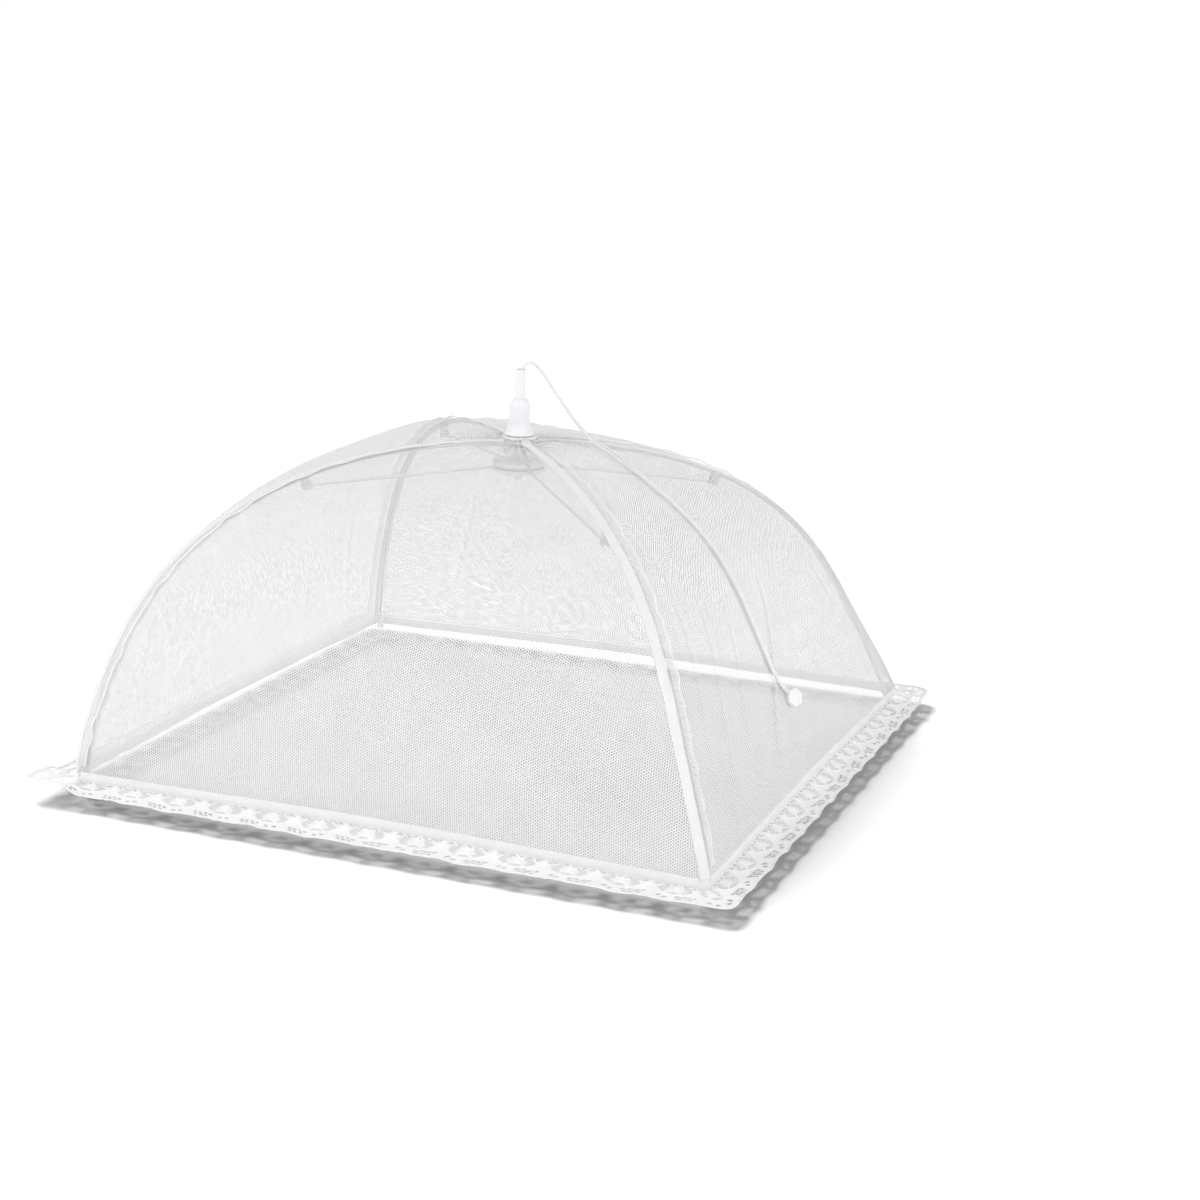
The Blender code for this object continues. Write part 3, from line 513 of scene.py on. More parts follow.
# %% The two strands of the pull cord
STRAND_RADIUS = 0.00098
STRAND_OFFSET = 0.00090
STRAND_PARTING = 0.00085
PARTING_SHARES = (0.20, 0.42)
LYING_SHARES = (0.12, 0.27)
SWAY = 0.00012
SWAY_COUNT = 9
END_SHARE = 0.03
END_CLOSENESS = 0.55
# Which point of the route shows where the cord is heading as it leaves the tube
HEADING_POINT = 7


def share_between(run, span):
    """0 before a span of the run, 1 after it and even between."""
    return np.clip((run - span[0]) / (span[1] - span[0]), 0, 1)


cord_run = np.linspace(0, 1, len(cord_line))
cord_ahead = unit(np.gradient(cord_line, axis=0))
over_mouth = CORD_ROUTE[HEADING_POINT]
heading = unit(np.array([over_mouth[0], over_mouth[1], 0.0]))
level_side = -np.cross([0, 0, 1], heading)
leaning = (cord_line[:, 0] / HALF_SIDE) ** 2
outward = unit(np.stack((leaning, np.zeros(len(cord_line)), cord_line[:, 2] / HALF_SIDE), 1))
lying_side = unit(np.cross(cord_ahead, outward))
lies = share_between(cord_run, LYING_SHARES)[:, None]
cord_side = unit(level_side * (1 - lies) + lying_side * lies)
cord_up = unit(np.cross(cord_side, cord_ahead))
parting = STRAND_PARTING * np.sin(np.pi * share_between(cord_run, PARTING_SHARES))
sway = SWAY * np.sin(cord_run * 2 * np.pi * SWAY_COUNT)
ends = np.minimum(1, np.minimum(cord_run, 1 - cord_run) / END_SHARE + END_CLOSENESS)
strands = []
for hand in (-1, 1):
    middle = cord_line + cord_side * (hand * (STRAND_OFFSET * ends + parting) + sway)[:, None]
    strands.append((middle, cord_side, cord_up, round_outline(STRAND_RADIUS, sides=10)))
pull_string = plain_object("pull_string", swept_mesh("pull_string", strands), string_white)
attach(pull_string, "crown")
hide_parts("pull_cord")

# %% [markdown]
# ## The tag
# On the real cord a flat six-sided plastic clip is pressed over the knot. It is two half shells,
# so a parting groove runs round its edge, and its face is dished a little. Rings of points from
# the back to the front give the bevels and the groove, and the last ring pushes the face in.

# %% The tag on the cord's end
TAG_GROOVE = 0.0003
TAG_BEVEL = 0.0007
TAG_BEVEL_MIDDLE = 0.3 * TAG_BEVEL
TAG_DISH_RADIUS = 0.0035
TAG_CORNER = 0.0008
TAG_CORNER_CUT = 0.28 * TAG_CORNER
TAG_SHOULDER_SHARE = 0.975


def tag_mesh():
    shape = bmesh.new()
    half = TAG_THICKNESS / 2
    levels = (
        (-half, TAG_RADIUS - TAG_BEVEL),
        (-half + TAG_BEVEL_MIDDLE, TAG_RADIUS - TAG_BEVEL_MIDDLE),
        (-half + TAG_BEVEL, TAG_RADIUS),
        (-TAG_GROOVE, TAG_RADIUS),
        (0, TAG_RADIUS - TAG_GROOVE),
        (TAG_GROOVE, TAG_RADIUS),
        (half - TAG_BEVEL, TAG_RADIUS),
        (half - TAG_BEVEL_MIDDLE, TAG_RADIUS - TAG_BEVEL_MIDDLE),
        (half, TAG_RADIUS - TAG_BEVEL),
        (half, TAG_DISH_RADIUS + TAG_GROOVE),
        (half - TAG_GROOVE, TAG_DISH_RADIUS),
    )
    rings = []
    for height, radius in levels:
        ring = []
        for i in range(6):
            for nudge in (-TAG_CORNER, 0, TAG_CORNER):
                angle = math.radians(60 * i) + nudge / radius
                reach = radius * TAG_SHOULDER_SHARE if nudge else radius - TAG_CORNER_CUT
                ring.append(shape.verts.new((reach * math.cos(angle), reach * math.sin(angle), height)))
        rings.append(ring)
    for low, high in zip(rings, rings[1:]):
        for j in range(len(low)):
            k = (j + 1) % len(low)
            shape.faces.new((low[j], low[k], high[k], high[j]))
    shape.faces.new(rings[0][::-1])
    shape.faces.new(rings[-1])
    axes = Matrix((towards_tag, TAG_FACING.cross(towards_tag), TAG_FACING)).transposed().to_4x4()
    bmesh.ops.transform(shape, matrix=Matrix.Translation(TAG_CENTRE) @ axes, verts=shape.verts)
    mesh = bpy.data.meshes.new("tag_clip")
    shape.to_mesh(mesh)
    shape.free()
    close_up(mesh, sharp=40)
    return mesh


tag_clip = plain_object("tag_clip", tag_mesh(), plastic_white)
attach(tag_clip, "crown")
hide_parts("cord_tag")
print("tag:", len(tag_clip.data.polygons), "faces")

# %% [markdown]
# ## Light and floor
# The picture is a cut-out on white: soft light from the upper left, and a grey shadow that peeps
# out below and to the right. Two big soft lamps and an even white sky light the cover. The floor is
# plain grey, and a sun that is linked to it alone lifts it to white, so its shadow is dark while
# the white cloth isn't burnt out. The floor lies a little below the hem, and that lets the shadow
# fall clear of the lace.

# %% Sky, lamps and floor
SKY_STRENGTH = 0.72
KEY_WATTS = 13.5
FILL_WATTS = 10
SHADOW_SUN_STRENGTH = 9.2
SHADOW_SUN_ANGLE = math.radians(30)
FLOOR_DROP = 0.010
FLOOR_REACH = 6.0
FLOOR_GREY = (0.335, 0.335, 0.335)
LAMP_TARGET = Vector((0, 0, 0.08))
KEY_PLACE = Vector((-1.2, -1.4, 1.3))
KEY_SIZE = 0.9
FILL_PLACE = Vector((1.9, -0.5, 0.8))
FILL_SIZE = 1.2
SHADOW_SUN_PLACE = Vector((-1.15, 0.4, 2.1))


def make_sky():
    """Plain white for the camera, glossy and see-through rays, and softer as a lamp."""
    world = bpy.data.worlds.new("studio")
    bpy.context.scene.world = world
    world.use_nodes = True
    tree = world.node_tree
    background = tree.nodes["Background"]
    background.inputs["Color"].default_value = (1, 1, 1, 1)
    rays = add_node(tree, "ShaderNodeLightPath")
    seen = calculate(tree, "MAXIMUM", rays.outputs["Is Camera Ray"], rays.outputs["Is Glossy Ray"])
    seen = calculate(tree, "MAXIMUM", seen, rays.outputs["Is Transmission Ray"])
    strength = calculate(tree, "MULTIPLY_ADD", seen, 1 - SKY_STRENGTH, SKY_STRENGTH)
    tree.links.new(strength, background.inputs["Strength"])


def aimed_lamp(name, kind, place, strength):
    """A lamp at a place, turned to the middle of the cover."""
    data = bpy.data.lights.new(name, kind)
    data.energy = strength
    lamp = bpy.data.objects.new(name, data)
    bpy.context.scene.collection.objects.link(lamp)
    lamp.location = place
    lamp.rotation_mode = "QUATERNION"
    lamp.rotation_quaternion = (LAMP_TARGET - lamp.location).to_track_quat("-Z", "Y")
    return lamp


make_sky()
key = aimed_lamp("key", "AREA", KEY_PLACE, KEY_WATTS)
key.data.size = KEY_SIZE
fill = aimed_lamp("fill", "AREA", FILL_PLACE, FILL_WATTS)
fill.data.size = FILL_SIZE

floor_mesh = bpy.data.meshes.new("floor")
floor_corners = [
    (x * FLOOR_REACH, y * FLOOR_REACH, -FLOOR_DROP)
    for x, y in ((-1, -1), (1, -1), (1, 1), (-1, 1))
]
floor_mesh.from_pydata(floor_corners, [], [(0, 1, 2, 3)])
floor = plain_object("floor", floor_mesh)
floor_paint, _, _ = new_shader("floor_paint", FLOOR_GREY, roughness=1.0)
floor_mesh.materials.append(floor_paint)

shadow_sun = aimed_lamp("shadow_sun", "SUN", SHADOW_SUN_PLACE, SHADOW_SUN_STRENGTH)
shadow_sun.data.angle = SHADOW_SUN_ANGLE
floor_only = bpy.data.collections.new("lit_by_shadow_sun")
floor_only.objects.link(floor)
shadow_sun.light_linking.receiver_collection = floor_only
bpy.context.scene.view_settings.view_transform = "Standard"
print("studio is ready, floor", FLOOR_DROP, "m below the hem")

# %% [markdown]
# ## The rule of the canopy
# A rib is one cubic bow from its hinge to its foot. The cloth lies just above it and flares out
# to the hem at the corner. These few functions answer where the cloth over a rib is, for any
# share of the way down.

# %% Where the cloth lies
BOW_POINTS = 2001


def cloth_over_bow(bow):
    """Fine points of the cloth over a rib's wire, as radius and height, and the bow's shares."""
    t = np.linspace(0, 1, BOW_POINTS)
    reach = FOOT_RADIUS - HINGE_RADIUS
    rise = HINGE_HEIGHT - WIRE_END_HEIGHT
    knots = [(HINGE_RADIUS, HINGE_HEIGHT)]
    knots += [(HINGE_RADIUS + out * reach, WIRE_END_HEIGHT + high * rise) for out, high in bow]
    knots.append((FOOT_RADIUS, WIRE_END_HEIGHT))
    weights = np.stack(((1 - t) ** 3, 3 * (1 - t) ** 2 * t, 3 * (1 - t) * t**2, t**3), 1)
    wire = weights @ np.array(knots)
    run = unit(np.gradient(wire, axis=0))
    return t, wire + CLOTH_OFFSET * np.stack((-run[:, 1], run[:, 0]), 1)


def cloth_line(bow, share):
    """The cloth's radius and height over a rib, from the crown at 0 to the hem at 1."""
    t, cloth = cloth_over_bow(bow)
    start = np.interp(CANOPY_START_RADIUS, cloth[:, 0], t)
    lower = t > 0.5
    end = np.interp(-HEM_HEIGHT, -cloth[lower, 1], t[lower])
    at = start + (end - start) * np.asarray(share)
    out, height = np.interp(at, t, cloth[:, 0]), np.interp(at, t, cloth[:, 1])
    flare = ease((share - FLARE_START_SHARE) / (1 - FLARE_START_SHARE))
    return out + (CORNER_REACH - np.interp(end, t, cloth[:, 0])) * flare, height


def turned(bearing, out, side, height):
    """Points given outwards, sideways and up from the axis, turned to a bearing."""
    c, s = math.cos(math.radians(bearing)), math.sin(math.radians(bearing))
    out, side, height = np.broadcast_arrays(out, side, height)
    return np.stack((out * c - side * s, out * s + side * c, height), -1)


def cloth_point(corner, share, side):
    """Points on the cloth beside a corner's rib, at a level distance from its line."""
    out, height = cloth_line(corner[2], share)
    return turned(corner[1], out, side, height)


rail = cloth_point(CORNERS[1], np.linspace(0, 1, 50), 0.0)
print("near rib's cloth:", round(float(walked(rail)[-1]), 4), "m long")

# %% [markdown]
# ## Panels with life in them
# A taut net still has gathers at the crown where it is bunched under the handle, and soft folds
# that run up from the hem where the sewing pulls. The hem's middle lifts off the table a little.
# Belly and gathers are small pushes along the panel's own normal, worked out from the two shares.
# A fold is such a push beside its line, and the cloth there also slides sideways towards the
# line, so the fold leans over a little.

# %% The surface of one panel
HEM_LIFT = 0.0028
HEM_LIFT_POWERS = (1.6, 1.5)
HEM_LIFT_START_SHARE = 0.72
GATHER_DEPTH = 0.0014
GATHER_COUNT = 9
GATHER_REACH_SHARE = 0.13
GATHER_START_SHARE = 0.02
BINDING_EDGE = BINDING_HALF + SEAM_GAP
# For each panel: where a fold meets the hem, how far it leans, how far up it goes, its depth
FOLD_SHARES = {
    "front": ((0.90, -0.05, 0.40, 0.5), (0.10, 0.04, 0.30, 0.5)),
    "right": (
        (0.07, 0.02, 0.62, 0.5),
        (0.13, 0.05, 0.50, 0.6),
        (0.20, 0.08, 0.40, 0.6),
        (0.30, 0.22, 0.45, 1.0),
        (0.90, -0.06, 0.40, 0.5),
    ),
    "back": ((0.12, 0.05, 0.45, 0.5), (0.86, -0.05, 0.40, 0.5)),
    "left": ((0.10, 0.04, 0.45, 0.5), (0.88, -0.06, 0.50, 0.5)),
}
FOLD_DEPTH = 0.0028
FOLD_WIDTH_SHARE = 0.011
FOLD_TURN = 0.8
FOLD_SPREAD = 0.9
FOLD_LAP = 1.1
FOLD_EDGE_SHARE = 0.03
DIRECTION_STEP = 1 / 200


def hem_rise(across):
    """How far the hem has lifted, nothing at the corners and most at mid-side."""
    inner, outer = HEM_LIFT_POWERS
    return HEM_LIFT * (1 - np.abs(2 * across - 1) ** inner) ** outer


def panel_points(name, first, second, share, across):
    """A panel's points on a grid of shares: down the rows, across the columns."""
    share = np.asarray(share)[:, None]
    across = np.atleast_2d(across)

    def ends(at):
        return cloth_point(first, at, BINDING_EDGE), cloth_point(second, at, -BINDING_EDGE)

    a, b = ends(share)
    above = ends(np.maximum(share - DIRECTION_STEP, 0))
    below = ends(np.minimum(share + DIRECTION_STEP, 1))
    down = below[0] + below[1] - above[0] - above[1]
    out = unit(np.cross(b - a, down))
    out *= np.sign((out * (a + b)).sum(-1, keepdims=True))
    fullness = 1 - np.abs(2 * across - 1) ** BELLY_POWER
    push = PANEL_BELLY * np.sin(np.pi * share) * fullness
    gathers = np.cos(2 * np.pi * GATHER_COUNT * across) * np.exp(-share / GATHER_REACH_SHARE)
    push = push + GATHER_DEPTH * gathers * np.minimum(1, share / GATHER_START_SHARE)
    edge = np.minimum(across, 1 - across)
    slide = np.zeros_like(push)
    for at, lean, height, depth in FOLD_SHARES[name]:
        up = np.clip((share - (1 - height)) / height, 0, 1)
        line = at + lean * (1 - share) / height
        beside = (across - line) / FOLD_WIDTH_SHARE
        strong = depth * np.sin(np.pi * up) * np.minimum(1, edge / FOLD_EDGE_SHARE)
        push = push + FOLD_DEPTH * strong * np.exp(-(((beside - FOLD_TURN) / FOLD_SPREAD) ** 2))
        slide = slide - FOLD_LAP * FOLD_WIDTH_SHARE * strong * beside * np.exp(-(beside**2))
    points = a + (b - a) * (across + slide)[..., None] + out * push[..., None]
    late = ease((share - HEM_LIFT_START_SHARE) / (1 - HEM_LIFT_START_SHARE))
    points[..., 2] += hem_rise(across) * late
    return points


# %% [markdown]
# ## The net
# Up close the canopy is a honeycomb of fine threads, under two millimetres from hole to hole. A
# picture with see-through holes would vanish from the side, so the threads are real. Geometry
# Nodes make one flat net on a staggered grid of triangles. For the canopy, a small star of three
# arms is set at each triangle's middle, and the arms meet. For the lace, the triangles' dual is
# hexagons, each inset by its own share. Every point then finds its place on the curved panel by
# looking up its flat place in the panel's map, as if the cut cloth were sewn on. The canopy's
# knots may wander a little from that place, as they do in cheap tulle, so that two nets behind
# each other don't beat into rings.

# %% The two net trees
NET_INPUTS = {"Columns": "Int", "Rows": "Int", "Pitch": "Float", "Thread": "Float", "Middle": "Vector"}


def new_tree(name, inputs):
    """A geometry tree with its inputs, and the sockets that give them."""
    tree = bpy.data.node_groups.new(name, "GeometryNodeTree")
    for key, kind in {"Geometry": "Geometry", **inputs, "Finish": "Material"}.items():
        tree.interface.new_socket(key, in_out="INPUT", socket_type=f"NodeSocket{kind}")
    tree.interface.new_socket("Geometry", in_out="OUTPUT", socket_type="NodeSocketGeometry")
    return tree, add_node(tree, "NodeGroupInput").outputs


def sample_flat(tree, carrier, value, kind, where):
    """Look up a value of the carrier at flat places."""
    look = add_node(tree, "GeometryNodeSampleUVSurface", data_type=kind)
    flat = add_node(tree, "GeometryNodeInputNamedAttribute", data_type="FLOAT_VECTOR")
    flat.inputs["Name"].default_value = "Flat"
    feed(tree, look.inputs["Mesh"], carrier)
    feed(tree, socket_in(look, "Value"), value)
    feed(tree, look.inputs["UV Map"], socket_out(flat, "Attribute"))
    feed(tree, look.inputs["Sample UV"], where)
    return socket_out(look, "Value"), look.outputs["Is Valid"]


def net_tree_start(name, *own_inputs):
    """The inputs of a net tree, and its staggered grid cut into equal-sided triangles."""
    tree, given = new_tree(name, NET_INPUTS | dict.fromkeys(own_inputs, "Float"))
    pitch = given["Pitch"]
    step = calculate(tree, "MULTIPLY", pitch, math.sqrt(3) / 2)

    grid = add_node(tree, "GeometryNodeMeshGrid")
    columns_less = calculate(tree, "SUBTRACT", given["Columns"], 1)
    rows_less = calculate(tree, "SUBTRACT", given["Rows"], 1)
    feed(tree, grid.inputs["Size X"], calculate(tree, "MULTIPLY", columns_less, step))
    feed(tree, grid.inputs["Size Y"], calculate(tree, "MULTIPLY", rows_less, pitch))
    feed(tree, grid.inputs["Vertices X"], given["Columns"])
    feed(tree, grid.inputs["Vertices Y"], given["Rows"])

    here = add_node(tree, "GeometryNodeInputPosition").outputs["Position"]
    split = add_node(tree, "ShaderNodeSeparateXYZ")
    feed(tree, split.inputs[0], here)
    column = calculate(tree, "FLOOR", calculate(tree, "DIVIDE", split.outputs["X"], step))
    odd = calculate(tree, "FLOORED_MODULO", column, 2.0)
    drop = add_node(tree, "ShaderNodeCombineXYZ")
    odd_pitch = calculate(tree, "MULTIPLY", odd, pitch)
    feed(tree, drop.inputs["Y"], calculate(tree, "MULTIPLY", odd_pitch, 0.5))
    stagger = add_node(tree, "GeometryNodeSetPosition")
    feed(tree, stagger.inputs["Geometry"], grid.outputs["Mesh"])
    total = add_node(tree, "ShaderNodeVectorMath", operation="ADD")
    feed(tree, total.inputs[0], drop.outputs[0])
    feed(tree, total.inputs[1], given["Middle"])
    feed(tree, stagger.inputs["Offset"], total.outputs[0])
    cut = add_node(tree, "GeometryNodeTriangulate")
    feed(tree, cut.inputs["Mesh"], stagger.outputs["Geometry"])
    return tree, given, here, split.outputs["X"], step, cut.outputs["Mesh"]


def tree_end(tree, given, geometry):
    """Shade smooth, make instances real, give the finish and hand the result out."""
    smooth = add_node(tree, "GeometryNodeSetShadeSmooth")
    feed(tree, smooth.inputs["Geometry"], geometry)
    real = add_node(tree, "GeometryNodeRealizeInstances")
    feed(tree, real.inputs["Geometry"], smooth.outputs["Geometry"])
    paint = add_node(tree, "GeometryNodeSetMaterial")
    feed(tree, paint.inputs["Geometry"], real.outputs["Geometry"])
    feed(tree, paint.inputs["Material"], given["Finish"])
    feed(tree, add_node(tree, "NodeGroupOutput").inputs["Geometry"], paint.outputs["Geometry"])
    return tree


def without(tree, geometry, selection, domain="FACE"):
    gone = add_node(tree, "GeometryNodeDeleteGeometry", domain=domain)
    feed(tree, gone.inputs["Geometry"], geometry)
    feed(tree, gone.inputs["Selection"], selection)
    return gone.outputs["Geometry"]


def keep_flat_map(tree, geometry, here):
    stored = add_node(tree, "GeometryNodeStoreNamedAttribute", data_type="FLOAT2", domain="CORNER")
    feed(tree, stored.inputs["Geometry"], geometry)
    stored.inputs["Name"].default_value = "UVMap"
    feed(tree, socket_in(stored, "Value"), here)
    return stored.outputs["Geometry"]


WANDER_CELLS = 2.2
JOIN_SHARE = 0.03
CLOSED_SHARE = 0.15


def tulle_tree():
    """A fine net: a small star of three arms at each knot, joined arm to arm."""
    tree, given, here, across, step, triangles = net_tree_start("tulle_net", "Side", "Wander")
    knots = add_node(tree, "GeometryNodeMeshToPoints", mode="FACES")
    feed(tree, knots.inputs["Mesh"], triangles)
    beyond = calculate(tree, "LESS_THAN", calculate(tree, "MULTIPLY", across, given["Side"]), 0.0)
    own = without(tree, knots.outputs["Points"], beyond, "POINT")
    _, inside = sample_flat(tree, given["Geometry"], here, "FLOAT_VECTOR", here)
    own = without(tree, own, calculate(tree, "SUBTRACT", 1.0, inside), "POINT")

    arm = calculate(tree, "MULTIPLY", given["Pitch"], 1 / math.sqrt(3))
    spread = calculate(tree, "ARCTAN2", given["Thread"], arm)
    half_arm = calculate(tree, "MULTIPLY", arm, 0.5)
    reach = calculate(tree, "DIVIDE", half_arm, calculate(tree, "COSINE", spread))
    index = add_node(tree, "GeometryNodeInputIndex").outputs["Index"]
    arm_index = calculate(tree, "FLOOR", calculate(tree, "MULTIPLY", index, 0.5))
    hand = calculate(tree, "MULTIPLY_ADD", calculate(tree, "FLOORED_MODULO", index, 2.0), 2.0, -1.0)
    angle = calculate(tree, "MULTIPLY_ADD", arm_index, 2 * math.pi / 3, math.pi)
    angle = calculate(tree, "ADD", angle, calculate(tree, "MULTIPLY", hand, spread))
    corner = add_node(tree, "ShaderNodeCombineXYZ")
    feed(tree, corner.inputs["X"], calculate(tree, "MULTIPLY", reach, calculate(tree, "COSINE", angle)))
    feed(tree, corner.inputs["Y"], calculate(tree, "MULTIPLY", reach, calculate(tree, "SINE", angle)))
    disc = add_node(tree, "GeometryNodeMeshCircle", fill_type="NGON")
    disc.inputs["Vertices"].default_value = 6
    star = add_node(tree, "GeometryNodeSetPosition")
    feed(tree, star.inputs["Geometry"], disc.outputs["Mesh"])
    feed(tree, star.inputs["Position"], corner.outputs[0])

    part = calculate(tree, "FRACT", calculate(tree, "DIVIDE", across, step))
    flip = add_node(tree, "ShaderNodeCombineXYZ")
    turned_over = calculate(tree, "GREATER_THAN", part, 0.5)
    feed(tree, flip.inputs["Z"], calculate(tree, "MULTIPLY", turned_over, math.pi))
    put = add_node(tree, "GeometryNodeInstanceOnPoints")
    feed(tree, put.inputs["Points"], own)
    feed(tree, put.inputs["Instance"], star.outputs["Geometry"])
    feed(tree, put.inputs["Rotation"], flip.outputs[0])
    real = add_node(tree, "GeometryNodeRealizeInstances")
    feed(tree, real.inputs["Geometry"], put.outputs["Instances"])
    joined = add_node(tree, "GeometryNodeMergeByDistance")
    feed(tree, joined.inputs["Geometry"], real.outputs["Geometry"])
    feed(tree, joined.inputs["Distance"], calculate(tree, "MULTIPLY", given["Pitch"], JOIN_SHARE))

    drift = add_node(tree, "ShaderNodeTexNoise")
    feed(tree, drift.inputs["Vector"], here)
    feed(tree, drift.inputs["Scale"], calculate(tree, "DIVIDE", 1 / WANDER_CELLS, given["Pitch"]))
    drift.inputs["Detail"].default_value = 0.0
    centred = add_node(tree, "ShaderNodeVectorMath", operation="SUBTRACT")
    feed(tree, centred.inputs[0], drift.outputs["Color"])
    centred.inputs[1].default_value = (0.5, 0.5, 0.5)
    scaled = add_node(tree, "ShaderNodeVectorMath", operation="SCALE")
    feed(tree, scaled.inputs[0], centred.outputs[0])
    feed(tree, scaled.inputs["Scale"], calculate(tree, "MULTIPLY", given["Wander"], given["Pitch"]))
    place = add_node(tree, "ShaderNodeVectorMath", operation="ADD")
    feed(tree, place.inputs[0], here)
    feed(tree, place.inputs[1], scaled.outputs[0])
    spot, found = sample_flat(tree, given["Geometry"], here, "FLOAT_VECTOR", place.outputs[0])
    trimmed = without(tree, joined.outputs["Geometry"], calculate(tree, "SUBTRACT", 1.0, found), "POINT")
    sew = add_node(tree, "GeometryNodeSetPosition")
    feed(tree, sew.inputs["Geometry"], keep_flat_map(tree, trimmed, here))
    feed(tree, sew.inputs["Position"], spot)
    return tree_end(tree, given, sew.outputs["Geometry"])


def lace_tree():
    """A net whose holes are as wide as the carrier says: hexagons, each inset by its own share."""
    tree, given, here, _, _, triangles = net_tree_start("lace_net", "Rise")
    dual = add_node(tree, "GeometryNodeDualMesh")
    feed(tree, dual.inputs["Mesh"], triangles)
    opening = add_node(tree, "GeometryNodeInputNamedAttribute", data_type="FLOAT")
    opening.inputs["Name"].default_value = "Opening"
    openness, inside = sample_flat(tree, given["Geometry"], socket_out(opening, "Attribute"), "FLOAT", here)
    trimmed = without(tree, dual.outputs[0], calculate(tree, "SUBTRACT", 1.0, inside))

    inset = add_node(tree, "GeometryNodeExtrudeMesh", mode="FACES")
    feed(tree, inset.inputs["Mesh"], trimmed)
    feed(tree, inset.inputs["Selection"], calculate(tree, "GREATER_THAN", openness, CLOSED_SHARE))
    feed(tree, inset.inputs["Offset Scale"], 0.0)
    feed(tree, inset.inputs["Individual"], True)
    free_share = calculate(tree, "SUBTRACT", 1.0, calculate(tree, "DIVIDE", given["Thread"], given["Pitch"]))
    shrink = add_node(tree, "GeometryNodeScaleElements", domain="FACE")
    feed(tree, shrink.inputs["Geometry"], inset.outputs["Mesh"])
    feed(tree, shrink.inputs["Selection"], inset.outputs["Top"])
    feed(tree, socket_in(shrink, "Scale"), calculate(tree, "MULTIPLY", free_share, openness))
    mark = add_node(tree, "GeometryNodeStoreNamedAttribute", data_type="FLOAT", domain="POINT")
    feed(tree, mark.inputs["Geometry"], shrink.outputs["Geometry"])
    mark.inputs["Name"].default_value = "hole_rim"
    feed(tree, socket_in(mark, "Value"), inset.outputs["Top"])
    holed = without(tree, mark.outputs["Geometry"], inset.outputs["Top"])

    normal = add_node(tree, "GeometryNodeInputNormal").outputs["Normal"]
    spot, found = sample_flat(tree, given["Geometry"], here, "FLOAT_VECTOR", here)
    facing, _ = sample_flat(tree, given["Geometry"], normal, "FLOAT_VECTOR", here)
    kept = without(tree, holed, calculate(tree, "SUBTRACT", 1.0, found), "POINT")
    rim = add_node(tree, "GeometryNodeInputNamedAttribute", data_type="FLOAT")
    rim.inputs["Name"].default_value = "hole_rim"
    above = calculate(tree, "SUBTRACT", 0.5, socket_out(rim, "Attribute"))
    push = add_node(tree, "ShaderNodeVectorMath", operation="SCALE")
    feed(tree, push.inputs[0], facing)
    feed(tree, push.inputs["Scale"], calculate(tree, "MULTIPLY", above, given["Rise"]))
    sew = add_node(tree, "GeometryNodeSetPosition")
    feed(tree, sew.inputs["Geometry"], keep_flat_map(tree, kept, here))
    feed(tree, sew.inputs["Position"], spot)
    feed(tree, sew.inputs["Offset"], push.outputs[0])
    return tree_end(tree, given, sew.outputs["Geometry"])


tulle_net = tulle_tree()
lace_net = lace_tree()
print("net trees:", len(tulle_net.nodes), "and", len(lace_net.nodes), "nodes")

# %% Carriers, and running a tree on them
PLACE_UNDER_COVER = (0, 0, -0.1)


def carrier(name, points, flat, opening=None):
    """A smooth surface with a flat map in metres, facing away from the place under the cover."""
    rows, columns = points.shape[:2]
    if opening is None:
        opening = np.ones((rows, columns))
    i, j = rows // 2, columns // 2
    facing = np.cross(points[i + 1, j] - points[i, j], points[i, j + 1] - points[i, j])
    if facing @ (points[i, j] - np.array(PLACE_UNDER_COVER)) < 0:
        points, flat, opening = points[:, ::-1], flat[:, ::-1], opening[:, ::-1]
    index = np.arange(rows * columns).reshape(rows, columns)
    faces = np.stack((index[:-1, :-1], index[1:, :-1], index[1:, 1:], index[:-1, 1:]), -1).reshape(-1, 4)
    mesh = bpy.data.meshes.new(name)
    mesh.from_pydata(points.reshape(-1, 3).tolist(), [], faces.tolist())
    flat_places = flat.reshape(-1, 2)[faces.ravel()].astype(np.float32)
    mesh.uv_layers.new(name="Flat").data.foreach_set("uv", flat_places.ravel())
    openness = mesh.attributes.new("Opening", "FLOAT", "POINT")
    openness.data.foreach_set("value", opening.astype(np.float32).ravel())
    mesh.shade_smooth()
    return mesh


def grow(name, source, tree, settings):
    """Run a node tree on a mesh or curve and keep the result as a plain mesh object."""
    holder = bpy.data.objects.new(f"{name}_source", source)
    bpy.context.scene.collection.objects.link(holder)
    step = holder.modifiers.new("grow", "NODES")
    step.node_group = tree
    for item in tree.interface.items_tree:
        if item.name in settings:
            step[item.identifier] = settings[item.name]
    bpy.context.view_layer.update()
    evaluated = holder.evaluated_get(bpy.context.evaluated_depsgraph_get())
    mesh = bpy.data.meshes.new_from_object(evaluated)
    mesh.name = name
    bpy.data.objects.remove(holder)
    return plain_object(name, mesh)


SPARE_CELLS = 4
MIDDLE_OVERLAP = 2


